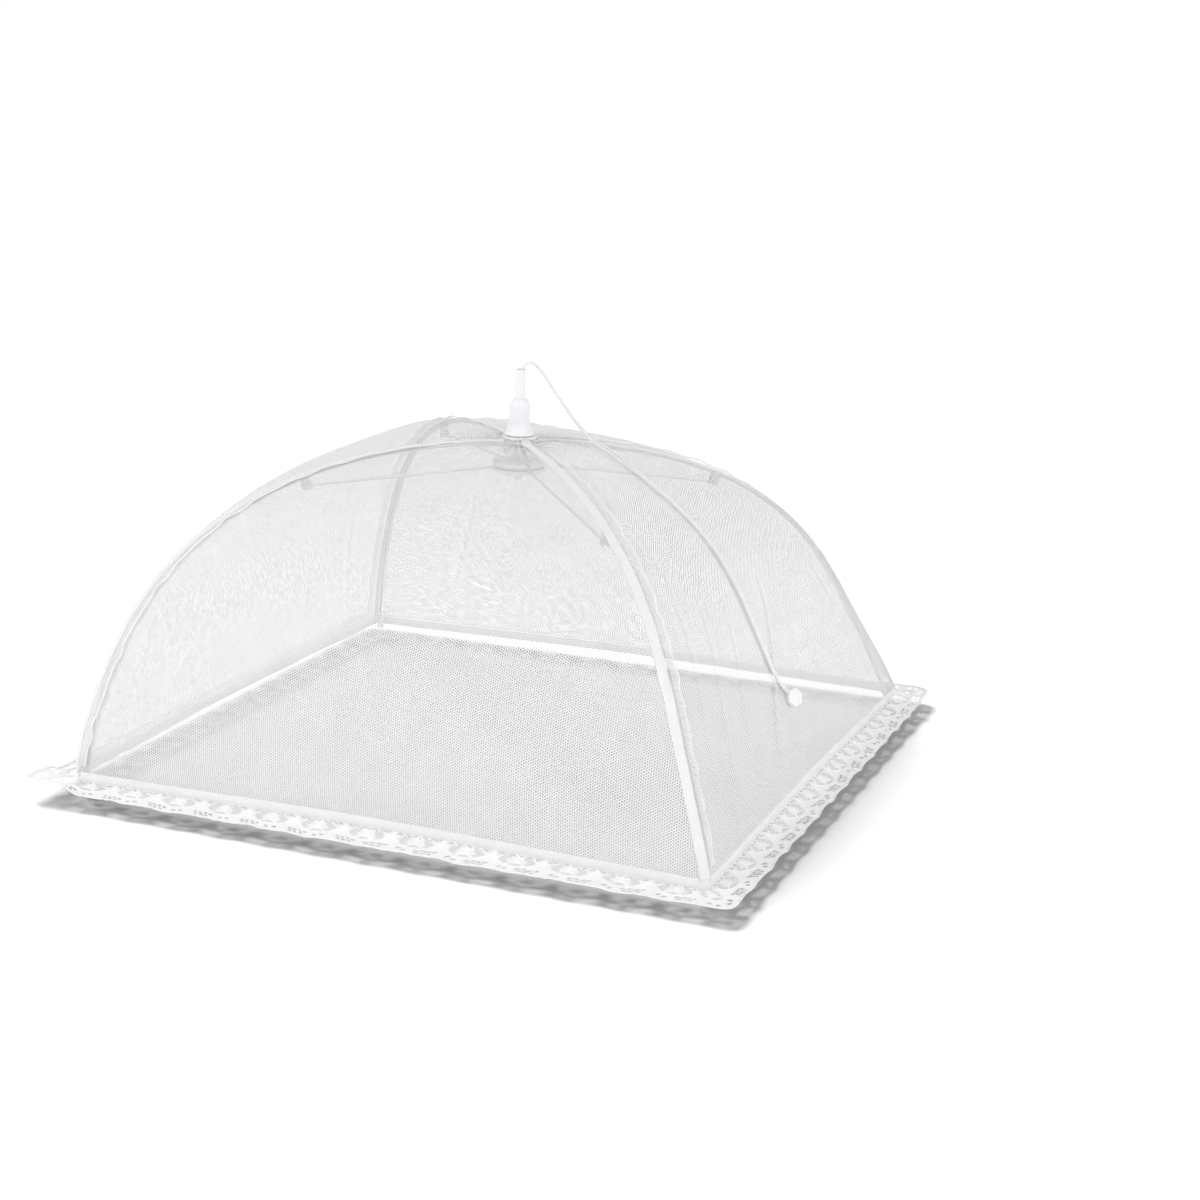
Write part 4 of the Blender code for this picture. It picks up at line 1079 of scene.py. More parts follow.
def net_on(name, surface, tree, pitch, thread, finish, side=0, **own_settings):
    """Cover a carrier, or the half of it on one side, with net."""
    flat = np.zeros(len(surface.loops) * 2, np.float32)
    surface.uv_layers["Flat"].data.foreach_get("uv", flat)
    flat = flat.reshape(-1, 2)
    low, high = flat.min(0), flat.max(0)
    step = pitch * math.sqrt(3) / 2
    if side:
        columns = 2 * math.ceil(max(-low[0], high[0]) / step / 2) + SPARE_CELLS + MIDDLE_OVERLAP
        middle = side * (columns // 2 - MIDDLE_OVERLAP) * step
    else:
        columns = 2 * math.ceil((high[0] - low[0]) / step / 2) + SPARE_CELLS
        middle = round((low[0] + high[0]) / 2 / step) * step
    rows = math.ceil((high[1] - low[1]) / pitch) + SPARE_CELLS
    settings = {
        "Columns": columns,
        "Rows": rows,
        "Pitch": pitch,
        "Thread": thread,
        "Middle": (middle, (low[1] + high[1]) / 2, 0),
        "Side": float(side),
        "Finish": finish,
        **own_settings,
    }
    return grow(name, surface, tree, settings)


# %% [markdown]
# ## Sewing the canopy
# Each panel folds at its middle when the cover closes, so it is two halves, one on each rib. The
# net parts between two columns of knots there, so the halves' threads meet end to end and no
# seam shows.

# %% Eight half nets
NET_PITCH = 0.00168
NET_THREAD = 0.00046
NET_WANDER = {"front": 0.0, "right": 0.0, "back": 1.8, "left": 1.8}
NET_TUCK = 0.0035
RIB_LINE_EDGE = 0.0003
PANEL_GRID = (96, 280)
NECK_RADIUS = 0.0098
NECK_HEIGHT = 0.2102


def lateral(corner):
    """The level direction along a rib's hinge pin."""
    angle = math.radians(corner[1] + 90)
    return (math.cos(angle), math.sin(angle), 0)


def gathers_with(piece):
    """Give a piece its own copy of its mesh."""
    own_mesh(piece)


def neck_points(points):
    """The same points drawn in to the foot of the handle, where the cloth is gathered."""
    ahead = points[..., :2] / np.linalg.norm(points[..., :2], axis=-1, keepdims=True)
    height = np.full((*points.shape[:-1], 1), NECK_HEIGHT)
    return np.concatenate((ahead * NECK_RADIUS, height), -1)


def panel_carrier(name, first, second):
    """The whole panel, with its edges on the ribs and its hem tucked into the tape."""
    rows, columns = PANEL_GRID
    share = np.linspace(0, 1, rows)
    even = np.linspace(0, 1, columns)
    crowded_at_edges = (1 - np.cos(np.pi * even)) / 2
    across = 0.5 * crowded_at_edges + 0.5 * even
    points = panel_points(name, first, second, share, across)
    near = cloth_point(first, share, RIB_LINE_EDGE)[:, None]
    far = cloth_point(second, share, -RIB_LINE_EDGE)[:, None]
    points = np.concatenate((near, points, far), 1)
    tuck = points[-1:] - np.array([0, 0, NET_TUCK])
    points = np.concatenate((neck_points(points[0])[None], points, tuck), 0)
    run = walked(points)
    half = np.array([np.interp(0.5, [0, *across, 1], row) for row in run])
    down = walked(points[:, points.shape[1] // 2])
    flat = np.stack((run - half[:, None], np.repeat(down[:, None], run.shape[1], 1)), -1)
    return points, flat


nets = {}
for i, (panel, first_half, second_half) in enumerate(PANELS):
    pair = (CORNERS[i], CORNERS[(i + 1) % 4])
    points, flat = panel_carrier(panel, *pair)
    for corner, half, side in ((pair[0], first_half, -1), (pair[1], second_half, 1)):
        surface = carrier(f"{panel}_{half}", points, flat)
        name = f"{panel}_net_{half}_half"
        wander = NET_WANDER[panel]
        net = net_on(name, surface, tulle_net, NET_PITCH, NET_THREAD, net_white, side, Wander=wander)
        nets[(panel, half)] = net
        wide, tall = flat.reshape(-1, 2).max(0)
        print(name, len(net.data.polygons), "faces, cut from", round(wide, 3), "by", round(tall, 3))
        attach(net, f"rib_{corner[0]}")
        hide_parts(f"{panel}_panel_{half}_half")

# %% [markdown]
# ## Threads and stitches
# Two more trees follow lines. One runs a round thread along every line it is given, and serves
# the cords in the lace and the thin seams. The other walks along a line in even steps and sets
# down one stitch at each, which is how a machine seam looks: short, plump and all alike.

# %% Trees that follow lines
BEAD_SEGMENTS = 6
BEAD_RINGS = 4


def line_tree_start(name, **own_inputs):
    tree, given = new_tree(name, {"Radius": "Float", **own_inputs})
    lines = add_node(tree, "GeometryNodeMeshToCurve")
    feed(tree, lines.inputs["Mesh"], given["Geometry"])
    return tree, given, lines.outputs["Curve"]


def thread_tree():
    """A round thread with closed ends along every line."""
    tree, given, lines = line_tree_start("thread_along_lines", Sides="Int")
    section = add_node(tree, "GeometryNodeCurvePrimitiveCircle")
    feed(tree, section.inputs["Resolution"], given["Sides"])
    feed(tree, section.inputs["Radius"], given["Radius"])
    sweep = add_node(tree, "GeometryNodeCurveToMesh")
    feed(tree, sweep.inputs["Curve"], lines)
    feed(tree, sweep.inputs["Profile Curve"], section.outputs["Curve"])
    feed(tree, sweep.inputs["Fill Caps"], True)
    return tree_end(tree, given, sweep.outputs["Mesh"])


def stitch_tree():
    """A long bead at each even step along every line."""
    tree, given, lines = line_tree_start("stitches_along_lines", Step="Float", Length="Float")
    walk = add_node(tree, "GeometryNodeResampleCurve", mode="LENGTH")
    feed(tree, walk.inputs["Curve"], lines)
    feed(tree, socket_in(walk, "Length"), given["Step"])
    bead = add_node(tree, "GeometryNodeMeshUVSphere")
    bead.inputs["Segments"].default_value = BEAD_SEGMENTS
    bead.inputs["Rings"].default_value = BEAD_RINGS
    bead.inputs["Radius"].default_value = 1
    size = add_node(tree, "ShaderNodeCombineXYZ")
    feed(tree, size.inputs["X"], given["Radius"])
    feed(tree, size.inputs["Y"], given["Radius"])
    feed(tree, size.inputs["Z"], calculate(tree, "MULTIPLY", given["Length"], 0.5))
    along = add_node(tree, "FunctionNodeAlignRotationToVector", axis="Z")
    feed(tree, along.inputs["Vector"], add_node(tree, "GeometryNodeInputTangent").outputs["Tangent"])
    put = add_node(tree, "GeometryNodeInstanceOnPoints")
    feed(tree, put.inputs["Points"], walk.outputs["Curve"])
    feed(tree, put.inputs["Instance"], bead.outputs["Mesh"])
    feed(tree, put.inputs["Rotation"], along.outputs["Rotation"])
    feed(tree, put.inputs["Scale"], size.outputs[0])
    return tree_end(tree, given, put.outputs["Instances"])


thread_lines = thread_tree()
stitch_lines = stitch_tree()


def line_mesh(name, lines):
    """Loose edges through the points of each line."""
    points, edges = [], []
    for line in lines:
        start = len(points)
        points.extend(map(tuple, line))
        edges.extend((start + i, start + i + 1) for i in range(len(line) - 1))
    mesh = bpy.data.meshes.new(name)
    mesh.from_pydata(points, edges, [])
    return mesh


def threads(name, lines, radius, finish, sides=6):
    settings = {"Radius": radius, "Sides": sides, "Finish": finish}
    return grow(name, line_mesh(name, lines), thread_lines, settings)


def stitches(name, lines, radius, length, step, finish):
    settings = {"Radius": radius, "Length": length, "Step": step, "Finish": finish}
    return grow(name, line_mesh(name, lines), stitch_lines, settings)


print("line trees:", thread_lines.name, stitch_lines.name)

# %% [markdown]
# ## Sleeves over the ribs
# On the real cover each rib runs in a folded cotton tape, sewn down along both edges, so it shows
# as a plump white band and not as a wire. The band is a low dome swept over the rib's bow. Its
# stitches sit where the dome meets the net.

# %% Sleeves, their seams and the strips of net beside them
SLEEVE_OUTLINE = (
    (-0.0032, 0.0001),
    (-0.0032, 0.00045),
    (-0.0024, 0.00085),
    (-0.0010, 0.00108),
    (0.0010, 0.00108),
    (0.0024, 0.00085),
    (0.0032, 0.00045),
    (0.0032, 0.0001),
)
SLEEVE_RINGS = 90
NECK_SQUEEZE = 0.8
SLEEVE_STITCH_OFFSET = 0.0025
STITCH_RADIUS = 0.00028
STITCH_LENGTH = 0.0019
STITCH_STEP = 0.0026
STRIP_WIDTH = 0.0058
STRIP_LIFT = 0.0009
STRIP_COLUMNS = 6
STRIP_ROWS = 90
STRIP_SPAN = (0.03, 0.985)
STRIP_TAPER_SHARE = 0.12
STRIP_EDGE_RADIUS = 0.00045
# How much the strip's width waves, and how often down the rib
STRIP_WAVES = ((0.10, 11), (0.06, 23))
# The lowest lift of the strip's free edge, how much more it has at most, and how often
STRIP_RIPPLE = (0.0004, 0.0011, 17)
SLEEVE_WAVE_COUNTS = (3, 7, 13)
SLEEVE_WAVE_HEIGHTS = (0.00008, 0.0002)
SLEEVE_SWELL = 0.10
SLEEVE_SWELL_COUNT = 9
SLEEVE_STITCH_LIFT = 0.0008


def along_rib(corner, rings):
    """Points, sideways and upward directions on a rib's cloth line."""
    share = np.linspace(0, 1, rings)
    points = cloth_point(corner, share, 0.0)
    ahead = unit(np.gradient(points, axis=0))
    side = np.broadcast_to(np.array(lateral(corner)), points.shape)
    lift = unit(np.cross(side, ahead))
    return points, side, lift * np.sign(lift[:1, 2:])


def sew_sleeve(corner):
    """A rib's sleeve, a little uneven as sewn tape is, and its two rows of stitches."""
    name = corner[0]
    points, side, lift = along_rib(corner, SLEEVE_RINGS)
    run = np.linspace(0, 1, len(points))
    rng = np.random.default_rng(sum(map(ord, name)))
    wander = random_waves(rng, run, SLEEVE_WAVE_COUNTS, *SLEEVE_WAVE_HEIGHTS)
    swell = np.sin(2 * np.pi * (SLEEVE_SWELL_COUNT * run + rng.uniform()))
    swell = 1 + SLEEVE_SWELL * swell * np.sin(np.pi * run)
    outline = np.array(SLEEVE_OUTLINE)[None] * np.stack((np.ones_like(swell), swell), 1)[:, None]
    middle = points + side * (wander * np.sin(np.pi * run))[:, None]
    middle = np.concatenate((neck_points(middle[:1]), middle))
    outline = np.concatenate((outline[:1] * NECK_SQUEEZE, outline))
    side = np.concatenate((side[:1], side))
    lift = np.concatenate((lift[:1], lift))
    mesh = swept_mesh(f"rib_sleeve_{name}", [(middle, side, lift, outline)])
    sleeve = plain_object(f"rib_sleeve_{name}", mesh, sleeve_white)
    raised = middle + lift * SLEEVE_STITCH_LIFT
    rows = [raised + side * (hand * SLEEVE_STITCH_OFFSET) for hand in (-1, 1)]
    seam = stitches(f"sleeve_seam_{name}", rows, STITCH_RADIUS, STITCH_LENGTH, STITCH_STEP, thread_white)
    for piece in (sleeve, seam):
        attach(piece, f"rib_{name}")
    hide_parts(f"rib_binding_{name}")
    return sleeve, seam


def strip_beside(corner, i):
    """The seam allowance: a narrow double of the net that lies on the next panel."""
    name = corner[0]
    panel = PANELS[i][0]
    second = CORNERS[(i + 1) % 4]
    share = np.linspace(*STRIP_SPAN, STRIP_ROWS)
    edge = panel_points(panel, corner, second, share, np.array([0.0, 1.0]))
    width = np.linalg.norm(edge[:, 1] - edge[:, 0], axis=1)
    narrow = np.minimum(1, share / STRIP_TAPER_SHARE)
    offsets = np.linspace(0, 1, STRIP_COLUMNS)
    wave = 1
    for order, (height, count) in enumerate(STRIP_WAVES, 1):
        wave = wave + height * np.sin(2 * np.pi * share * count + order * i)
    across = offsets[None] * (STRIP_WIDTH * narrow * wave / width)[:, None]
    points = panel_points(panel, corner, second, share, across)
    down = np.gradient(points, axis=0)
    out = unit(np.cross(np.gradient(points, axis=1), down))
    out *= np.sign((out * points).sum(-1, keepdims=True))
    least, more, count = STRIP_RIPPLE
    ripple = 0.5 + 0.5 * np.sin(2 * np.pi * (share * count + i / 3))
    rise = STRIP_LIFT + offsets[None] * (least + more * ripple[:, None])
    points = points + out * rise[..., None]
    wide = walked(points)
    flat = np.stack((wide, np.repeat(walked(points[:, 0])[:, None], wide.shape[1], 1)), -1)
    surface = carrier(f"strip_{name}", points, flat)
    strip = net_on(f"seam_strip_{name}", surface, tulle_net, NET_PITCH, NET_THREAD, net_white)
    bead = threads(f"seam_edge_{name}", [points[:, -1]], STRIP_EDGE_RADIUS, thread_white)
    for piece in (strip, bead):
        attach(piece, f"rib_{name}")
    return strip, bead


sleeves, strips = {}, {}
for i, corner in enumerate(CORNERS):
    sleeves[corner[0]] = sew_sleeve(corner)
    strips[corner[0]] = strip_beside(corner, i)
print("sleeves:", len(sleeves), "strips:", [len(s[0].data.polygons) for s in strips.values()])

# %% [markdown]
# ## The hem
# A cotton tape is folded over the raw edge of the net and sewn twice. It goes round each corner
# in a small bend and rises with the hem at mid-side. Each corner's piece reaches to the middle of
# two sides, where it meets its neighbour, because the cover folds there.

# %% Hem tape round each corner
TAPE_HALF_THICKNESS = 0.0008
TAPE_HALF_HEIGHT = 0.0032
TAPE_MIDDLE = 0.0046
TAPE_ROUNDING = 0.0004
TAPE_SEED = 7
TAPE_WAVE_COUNTS = (7, 12, 19)
TAPE_WAVE_HEIGHTS = (0.0001, 0.00025)
TAPE_STITCH_HEIGHT = 0.0023
TAPE_STITCH_RADIUS = 0.00024
TAPE_SIDE_RINGS = 60
TAPE_BEND_RINGS = 10
SIDE_RUN = HALF_SIDE - TAPE_BEND
BEND_RUN = TAPE_BEND * math.pi / 2
HEM_RUN = 2 * SIDE_RUN + BEND_RUN


def hem_share(distance):
    """The share across a panel for a distance along the side from its middle."""
    reach = (CORNER_REACH - BINDING_EDGE) / math.sqrt(2)
    return np.clip(0.5 + distance / reach / 2, 0, 1)


def hem_place(s):
    """Plan point, outward direction and lift on the hem line, from mid-side to mid-side."""
    s = np.asarray(s, float)
    angle = np.clip((s - SIDE_RUN) / BEND_RUN, 0, 1) * math.pi / 2
    before, after = np.minimum(s, SIDE_RUN), np.maximum(s - SIDE_RUN - BEND_RUN, 0)
    x = SIDE_RUN + TAPE_BEND * np.cos(angle) - after
    y = before + TAPE_BEND * np.sin(angle)
    out = np.stack((np.cos(angle), np.sin(angle)), -1)
    lift = hem_rise(hem_share(np.minimum(x, y)))
    return np.stack((x, y), -1), out, lift


def hem_rings(start, on_side, on_bend):
    """Places along the hem run, evenly on both sides and closer together round the bend."""
    straight = np.linspace(start, SIDE_RUN, on_side)
    bend = np.linspace(SIDE_RUN, SIDE_RUN + BEND_RUN, on_bend + 2)[1:-1]
    return np.concatenate((straight, bend, HEM_RUN - straight[::-1]))


def turned_plan(corner, points):
    """From a corner's own plan, with the corner towards +X+Y, to its place."""
    angle = math.radians(corner[1] - 45)
    c, s = math.cos(angle), math.sin(angle)
    x, y, z = points[..., 0], points[..., 1], points[..., 2]
    return np.stack((x * c - y * s, x * s + y * c, z), -1)


def sew_tape(corner):
    """A corner's band of tape and its four rows of stitches, two on each face."""
    name = corner[0]
    s = hem_rings(0, TAPE_SIDE_RINGS, TAPE_BEND_RINGS)
    plan, out, lift = hem_place(s)
    rng = np.random.default_rng(sum(map(ord, name)) + TAPE_SEED)
    calm = np.sin(np.pi * s / HEM_RUN) ** 0.5
    wobble = random_waves(rng, s / HEM_RUN, TAPE_WAVE_COUNTS, *TAPE_WAVE_HEIGHTS)
    middle = np.concatenate((plan + out * (wobble * calm)[:, None], (TAPE_MIDDLE + lift)[:, None]), 1)
    side = np.concatenate((out, np.zeros((len(s), 1))), 1)
    t, h, e = TAPE_HALF_THICKNESS, TAPE_HALF_HEIGHT, TAPE_ROUNDING
    lower = ((-t, e - h), (e - t, -h), (t - e, -h), (t, e - h))
    outline = lower + tuple((-x, -y) for x, y in lower)
    middle, side = turned_plan(corner, middle), turned_plan(corner, side)
    lift_way = np.broadcast_to(np.array([0.0, 0.0, 1.0]), middle.shape)
    mesh = swept_mesh(f"hem_band_{name}", [(middle, side, lift_way, outline)])
    band = plain_object(f"hem_band_{name}", mesh, tape_white)
    rows = [
        middle + side * (hand * TAPE_HALF_THICKNESS) + lift_way * height
        for hand in (-1, 1)
        for height in (-TAPE_STITCH_HEIGHT, TAPE_STITCH_HEIGHT)
    ]
    settings = (TAPE_STITCH_RADIUS, STITCH_LENGTH, STITCH_STEP, thread_white)
    seam = stitches(f"hem_seam_{name}", rows, *settings)
    for piece in (band, seam):
        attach(piece, f"rib_{name}")
        gathers_with(piece)
    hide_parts(f"hem_tape_{name}")
    return band, seam


bands = {corner[0]: sew_tape(corner) for corner in CORNERS}
print("hem bands:", len(bands))

# %% [markdown]
# ## The lace
# Machine lace is a net whose holes are drawn wide, narrow or shut to make a picture, with thick
# cords laid round the motifs. The tree of hexagons makes the net: a carrier says how open each
# place is. One repeat is a swag that hangs from the tape, a fan inside it, leaves beside the
# tape and small slots near the scalloped edge.

# %% The pattern of the lace
LACE_REPEAT = 2 * HALF_SIDE / LACE_REPEATS
LACE_COLUMNS = 414
LACE_BAND = 2 * HALF_SIDE + LACE_REPEAT
LACE_PITCH = LACE_BAND / LACE_COLUMNS * 2 / math.sqrt(3)
LACE_THREAD = 0.00042
LACE_RISE = 0.00006
LACE_TUCK = 0.0003
LACE_OVERRUN = 0.0003
# How open the holes are: closed cloth, the net in a fan, its petals, a slot
CLOTH_SHARE, FAN_SHARE, PETAL_SHARE, SLOT_SHARE = 0.30, 0.55, 1.05, 1.38
SWAG_DEPTH_SHARE = 0.60
SWAG_POWER = 0.6
# Place and depth of a petal's middle, its two half sizes in repeats, its lean in degrees
PETAL_SHARES = ((0.26, 0.25, 0.130, 0.062, -32), (0.13, 0.13, 0.060, 0.035, 10))
# Place and depth of each slot near the edge, then their half sizes in repeats and their lean
SLOT_SHARES = (
    (0.02, 0.67),
    (0.13, 0.70),
    (0.25, 0.69),
    (0.37, 0.72),
    (0.08, 0.82),
    (0.20, 0.84),
    (0.32, 0.84),
    (0.60, 0.80),
    (0.72, 0.74),
)
SLOT_HALF_LONG_SHARE = 0.060
SLOT_HALF_WIDE_SHARE = 0.034
SLOT_LEAN = 38
# The open crescent in the swag: how far above the swag's line it starts and ends
CRESCENT_SHARES = (0.05, 0.19)
CRESCENT_START_SHARE = 0.20
# Half widths and reaches of the solid stem, the fan's arms and the knot between two swags
STEM_SHARES = (0.030, 0.34)
ARM_SHARES = (0.032, 0.19)
ARM_PLACE_SHARE = 0.33
ARM_SLOPE = 0.75
KNOT_SHARES = (0.045, 0.32)
SWAG_LINE_SHARE = 0.040
# The zigzag of slots under the tape: its depth, its swing, its half width and how often it turns
ZIGZAG_SHARES = (0.095, 0.020, 0.026)
ZIGZAG_COUNT = 9
SOLID_EDGE_SHARES = (0.03, 0.955)


def repeat_place(s):
    """Distance from the corner along the side, which runs on into half a repeat on the diagonal."""
    s = np.minimum(s, HEM_RUN - s)
    bend = np.clip((s - SIDE_RUN) / BEND_RUN * 2, 0, 1)
    on_side = HALF_SIDE - np.minimum(s, SIDE_RUN)
    return on_side - bend * (TAPE_BEND + LACE_REPEAT / 2)


def band_place(s):
    """Distance along the lace as it was woven, straight and with whole repeats round the bend."""
    first = HALF_SIDE - repeat_place(s)
    return np.where(s < HEM_RUN / 2, first, LACE_BAND - first)


def swag_depth(w):
    """How far down, as a share of the width, the swag hangs at a share of the repeat."""
    return SWAG_DEPTH_SHARE * np.abs(np.sin(np.pi * w)) ** SWAG_POWER


def in_oval(dx, dy, half_long, half_wide, lean):
    """Whether places, measured from a leaning oval's middle, lie inside it."""
    c, s = math.cos(math.radians(lean)), math.sin(math.radians(lean))
    return ((dx * c + dy * s) / half_long) ** 2 + ((dy * c - dx * s) / half_wide) ** 2 < 1


def lace_opening(s, t):
    """0 where the lace is solid, 1 where a hole is wide open and more where holes run together."""
    along = repeat_place(s) / LACE_REPEAT
    w = along - np.floor(along)
    mirrored = np.minimum(w, 1 - w)
    from_middle = 0.5 - mirrored
    deep = LACE_WIDTH / LACE_REPEAT
    depth = swag_depth(w)
    open_ = np.where(t < depth, FAN_SHARE, CLOTH_SHARE)
    near, far = CRESCENT_SHARES
    crescent = (t > depth - far) & (t < depth - near) & (mirrored > CRESCENT_START_SHARE)
    open_ = np.where(crescent, PETAL_SHARE, open_)
    for place, down, half_long, half_wide, lean in PETAL_SHARES:
        petal = in_oval(mirrored - place, (t - down) * deep, half_long, half_wide, lean)
        open_ = np.where(petal, PETAL_SHARE, open_)
    stem = (from_middle < STEM_SHARES[0]) & (t < STEM_SHARES[1])
    from_arm = np.abs(t - ARM_PLACE_SHARE - ARM_SLOPE * from_middle)
    arms = (from_arm < ARM_SHARES[0]) & (from_middle < ARM_SHARES[1])
    knot = (mirrored < KNOT_SHARES[0]) & (t < KNOT_SHARES[1])
    swag = np.abs(t - depth) < SWAG_LINE_SHARE
    open_ = np.where(stem | arms | knot | swag, 0.0, open_)
    for place, down in SLOT_SHARES:
        beside = (w - place + 0.5) % 1 - 0.5
        slot = in_oval(beside, (t - down) * deep, SLOT_HALF_LONG_SHARE, SLOT_HALF_WIDE_SHARE, SLOT_LEAN)
        open_ = np.where(slot, SLOT_SHARE, open_)
    place, swing, half_wide = ZIGZAG_SHARES
    zigzag = place + swing * np.sign(np.sin(2 * np.pi * along * ZIGZAG_COUNT))
    in_zigzag = (np.abs(t - zigzag) < half_wide) & (mirrored > KNOT_SHARES[0])
    open_ = np.where(in_zigzag, SLOT_SHARE, open_)
    first, last = SOLID_EDGE_SHARES
    return np.where((t < first) | (t > last), 0.0, open_)


# %% The shape of the lace
# For each corner: how square its outer corner is, how far that corner lifts, seed of its waves
LACE_CORNERS = {
    "front_left": (9.0, 0.0065, 3),
    "front_right": (7.0, 0.0006, 5),
    "back_right": (3.6, 0.0012, 8),
    "back_left": (5.0, 0.0010, 11),
}
LACE_REST = 0.00045
LACE_WAVE = 0.0011
LACE_WAVE_COUNTS = (5, 9, 13, 17)
LACE_WAVE_HEIGHTS = (0.5, 1)
LACE_CALM_RUN = 0.02
# How much the waves swell the ripple, then the depth, count and shift of the finer ripple on it
LACE_RIPPLE = (0.5, 0.25, 9, 3)
SCALLOP_FADE = 0.5
LACE_START_HEIGHT = 0.0021
LACE_FALL_SHARE = 0.5
LACE_SAG = 0.6
EAR_REACH = 0.016
EAR_START_SHARE = 0.15
EAR_POWER = 1.4
LACE_ROWS = 46
LACE_SIDE_COLUMNS = 400
LACE_BEND_COLUMNS = 80
LACE_CORD_POINTS = 760
LACE_CORD_LIFT = 0.0002
LACE_CORD_RADIUS = 0.00030
LACE_LINE_RADIUS = 0.00020
# Places of the cord on the outer edge and of the fine line inside it
EDGE_CORD_SHARE = 0.985
EDGE_LINE_SHARE = 0.925
SWAG_LINE_GAP_SHARE = 0.05


def lace_width(s, squareness):
    """The width along the hem, scalloped on the sides and drawn out at the corner."""
    along = repeat_place(s)
    plain = LACE_WIDTH - LACE_SCALLOP * np.abs(np.cos(np.pi * along / LACE_REPEAT))
    angle = np.clip((s - SIDE_RUN) / BEND_RUN, 0, 1) * math.pi / 2
    c, d = np.cos(angle), np.sin(angle)
    square = 1 / (c**squareness + d**squareness) ** (1 / squareness)
    turn = np.sin(2 * angle)
    return (LACE_WIDTH + TAPE_BEND) * square - TAPE_BEND - (LACE_WIDTH - plain) * (1 - SCALLOP_FADE * turn)


def lace_surface(corner, s, t):
    """Points of the lace for places along the hem and shares of its width."""
    squareness, ear, seed = LACE_CORNERS[corner[0]]
    plan, out, lift = hem_place(s)
    width = lace_width(s, squareness)
    reach = -LACE_TUCK + t * (width + LACE_TUCK)
    flat = plan + out * reach[..., None]
    rng = np.random.default_rng(seed)
    waves = random_waves(rng, s / HEM_RUN, LACE_WAVE_COUNTS, *LACE_WAVE_HEIGHTS)
    waves = waves * np.clip(np.minimum(s, HEM_RUN - s) / LACE_CALM_RUN, 0, 1)
    fall = ease(t / LACE_FALL_SHARE)
    swell, depth, count, shift = LACE_RIPPLE
    ripple = (1 + swell * waves) * (1 + depth * np.sin(count * t + shift * waves))
    table = LACE_REST + LACE_WAVE / 2 * t * ripple
    height = (LACE_START_HEIGHT + lift) * (1 - fall) + np.maximum(table, LACE_REST) * fall
    curl = ease(1 - np.abs(s - HEM_RUN / 2) / EAR_REACH)
    outer = np.clip((t - EAR_START_SHARE) / (1 - EAR_START_SHARE), 0, 1)
    height = height + ear * curl * outer**EAR_POWER
    height = height + lift * LACE_SAG * t * (1 - t)
    return np.concatenate((flat, height[..., None]), -1), np.stack((band_place(s), reach), -1)


def sew_lace(corner):
    """A corner's lace: its net, the thick cords on it and the fine lines beside them."""
    name = corner[0]
    s = hem_rings(-LACE_OVERRUN, LACE_SIDE_COLUMNS, LACE_BEND_COLUMNS)
    s, t = np.meshgrid(s, np.linspace(0, 1, LACE_ROWS))
    points, flat = lace_surface(corner, s, t)
    surface = carrier(f"lace_{name}", turned_plan(corner, points), flat, lace_opening(s, t))
    thread = (LACE_PITCH, LACE_THREAD, lace_white)
    ground = net_on(f"lace_ground_{name}", surface, lace_net, *thread, Rise=LACE_RISE)
    fine = np.linspace(0, HEM_RUN, LACE_CORD_POINTS)

    def laid_line(t, raised=LACE_CORD_LIFT):
        """A line along the whole lace, at a share of its width that may change on the way."""
        points, _ = lace_surface(corner, fine, np.broadcast_to(t, fine.shape))
        points[..., 2] += raised
        return turned_plan(corner, points)

    w = repeat_place(fine) / LACE_REPEAT
    inside_swag = swag_depth(w) - SWAG_LINE_GAP_SHARE * np.abs(np.sin(np.pi * w))
    thick = [laid_line(swag_depth(w)), laid_line(EDGE_CORD_SHARE, raised=0.0)]
    thin = [laid_line(inside_swag), laid_line(EDGE_LINE_SHARE)]
    heavy = threads(f"lace_cord_{name}", thick, LACE_CORD_RADIUS, lace_white)
    light = threads(f"lace_line_{name}", thin, LACE_LINE_RADIUS, lace_white, sides=5)
    pieces = (ground, heavy, light)
    for piece in pieces:
        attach(piece, f"rib_{name}")
        gathers_with(piece)
    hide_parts(f"lace_{name}")
    return pieces


laces = {corner[0]: sew_lace(corner) for corner in CORNERS}
print("lace:", {name: [len(p.data.polygons) for p in pieces] for name, pieces in laces.items()})

# %% [markdown]
# ## The thread in each half net
# A net's true area is smaller than its outline, because about three fifths of it is holes. The
# area printed here is the thread that really covers the panel.

for i, (panel, first_half, second_half) in enumerate(PANELS):
    for corner, half in ((CORNERS[i], first_half), (CORNERS[(i + 1) % 4], second_half)):
        net = nets[(panel, half)]
        area = sum(face.area for face in net.data.polygons)
        print(net.name, "thread surface", round(area, 4), "square metres")

# %% [markdown]
# ## Crown, ferrule and tube
# The handle is turned plastic: a thin tube, a shoulder, a collar and a flared foot. All its edges
# are well rounded, so its outline is drawn as a soft curve and spun. Under the flare lies a
# round of cotton, gathered where the four sleeves come in.

# %% Turned plastic and the gathered round
TUBE_RADIUS = 0.00365
TUBE_BORE = 0.0016
FERRULE_GAP = 0.0001
ROUND_RADIUS = 0.0118
ROUND_HEIGHT = 0.2107
ROUND_HALF_THICKNESS = 0.0003
# The rings of the round's flat part, and where its fluted part begins
ROUND_FLAT_RINGS = (0.0040, 0.0070, 0.0094)
ROUND_FLUTE_START = 0.0098
ROUND_FLUTED_RINGS = 8
ROUND_SPOKES = 180
# Height and count of each set of flutes
ROUND_FLUTES = ((0.00034, 28), (0.00020, 43))
# How far the large flutes stray from even places, in radians, and how often
ROUND_FLUTE_SWAY = (0.6, 3)
# Share and count of each wave of the round's rim
ROUND_RIM_WAVES = ((0.025, 28), (0.02, 5))
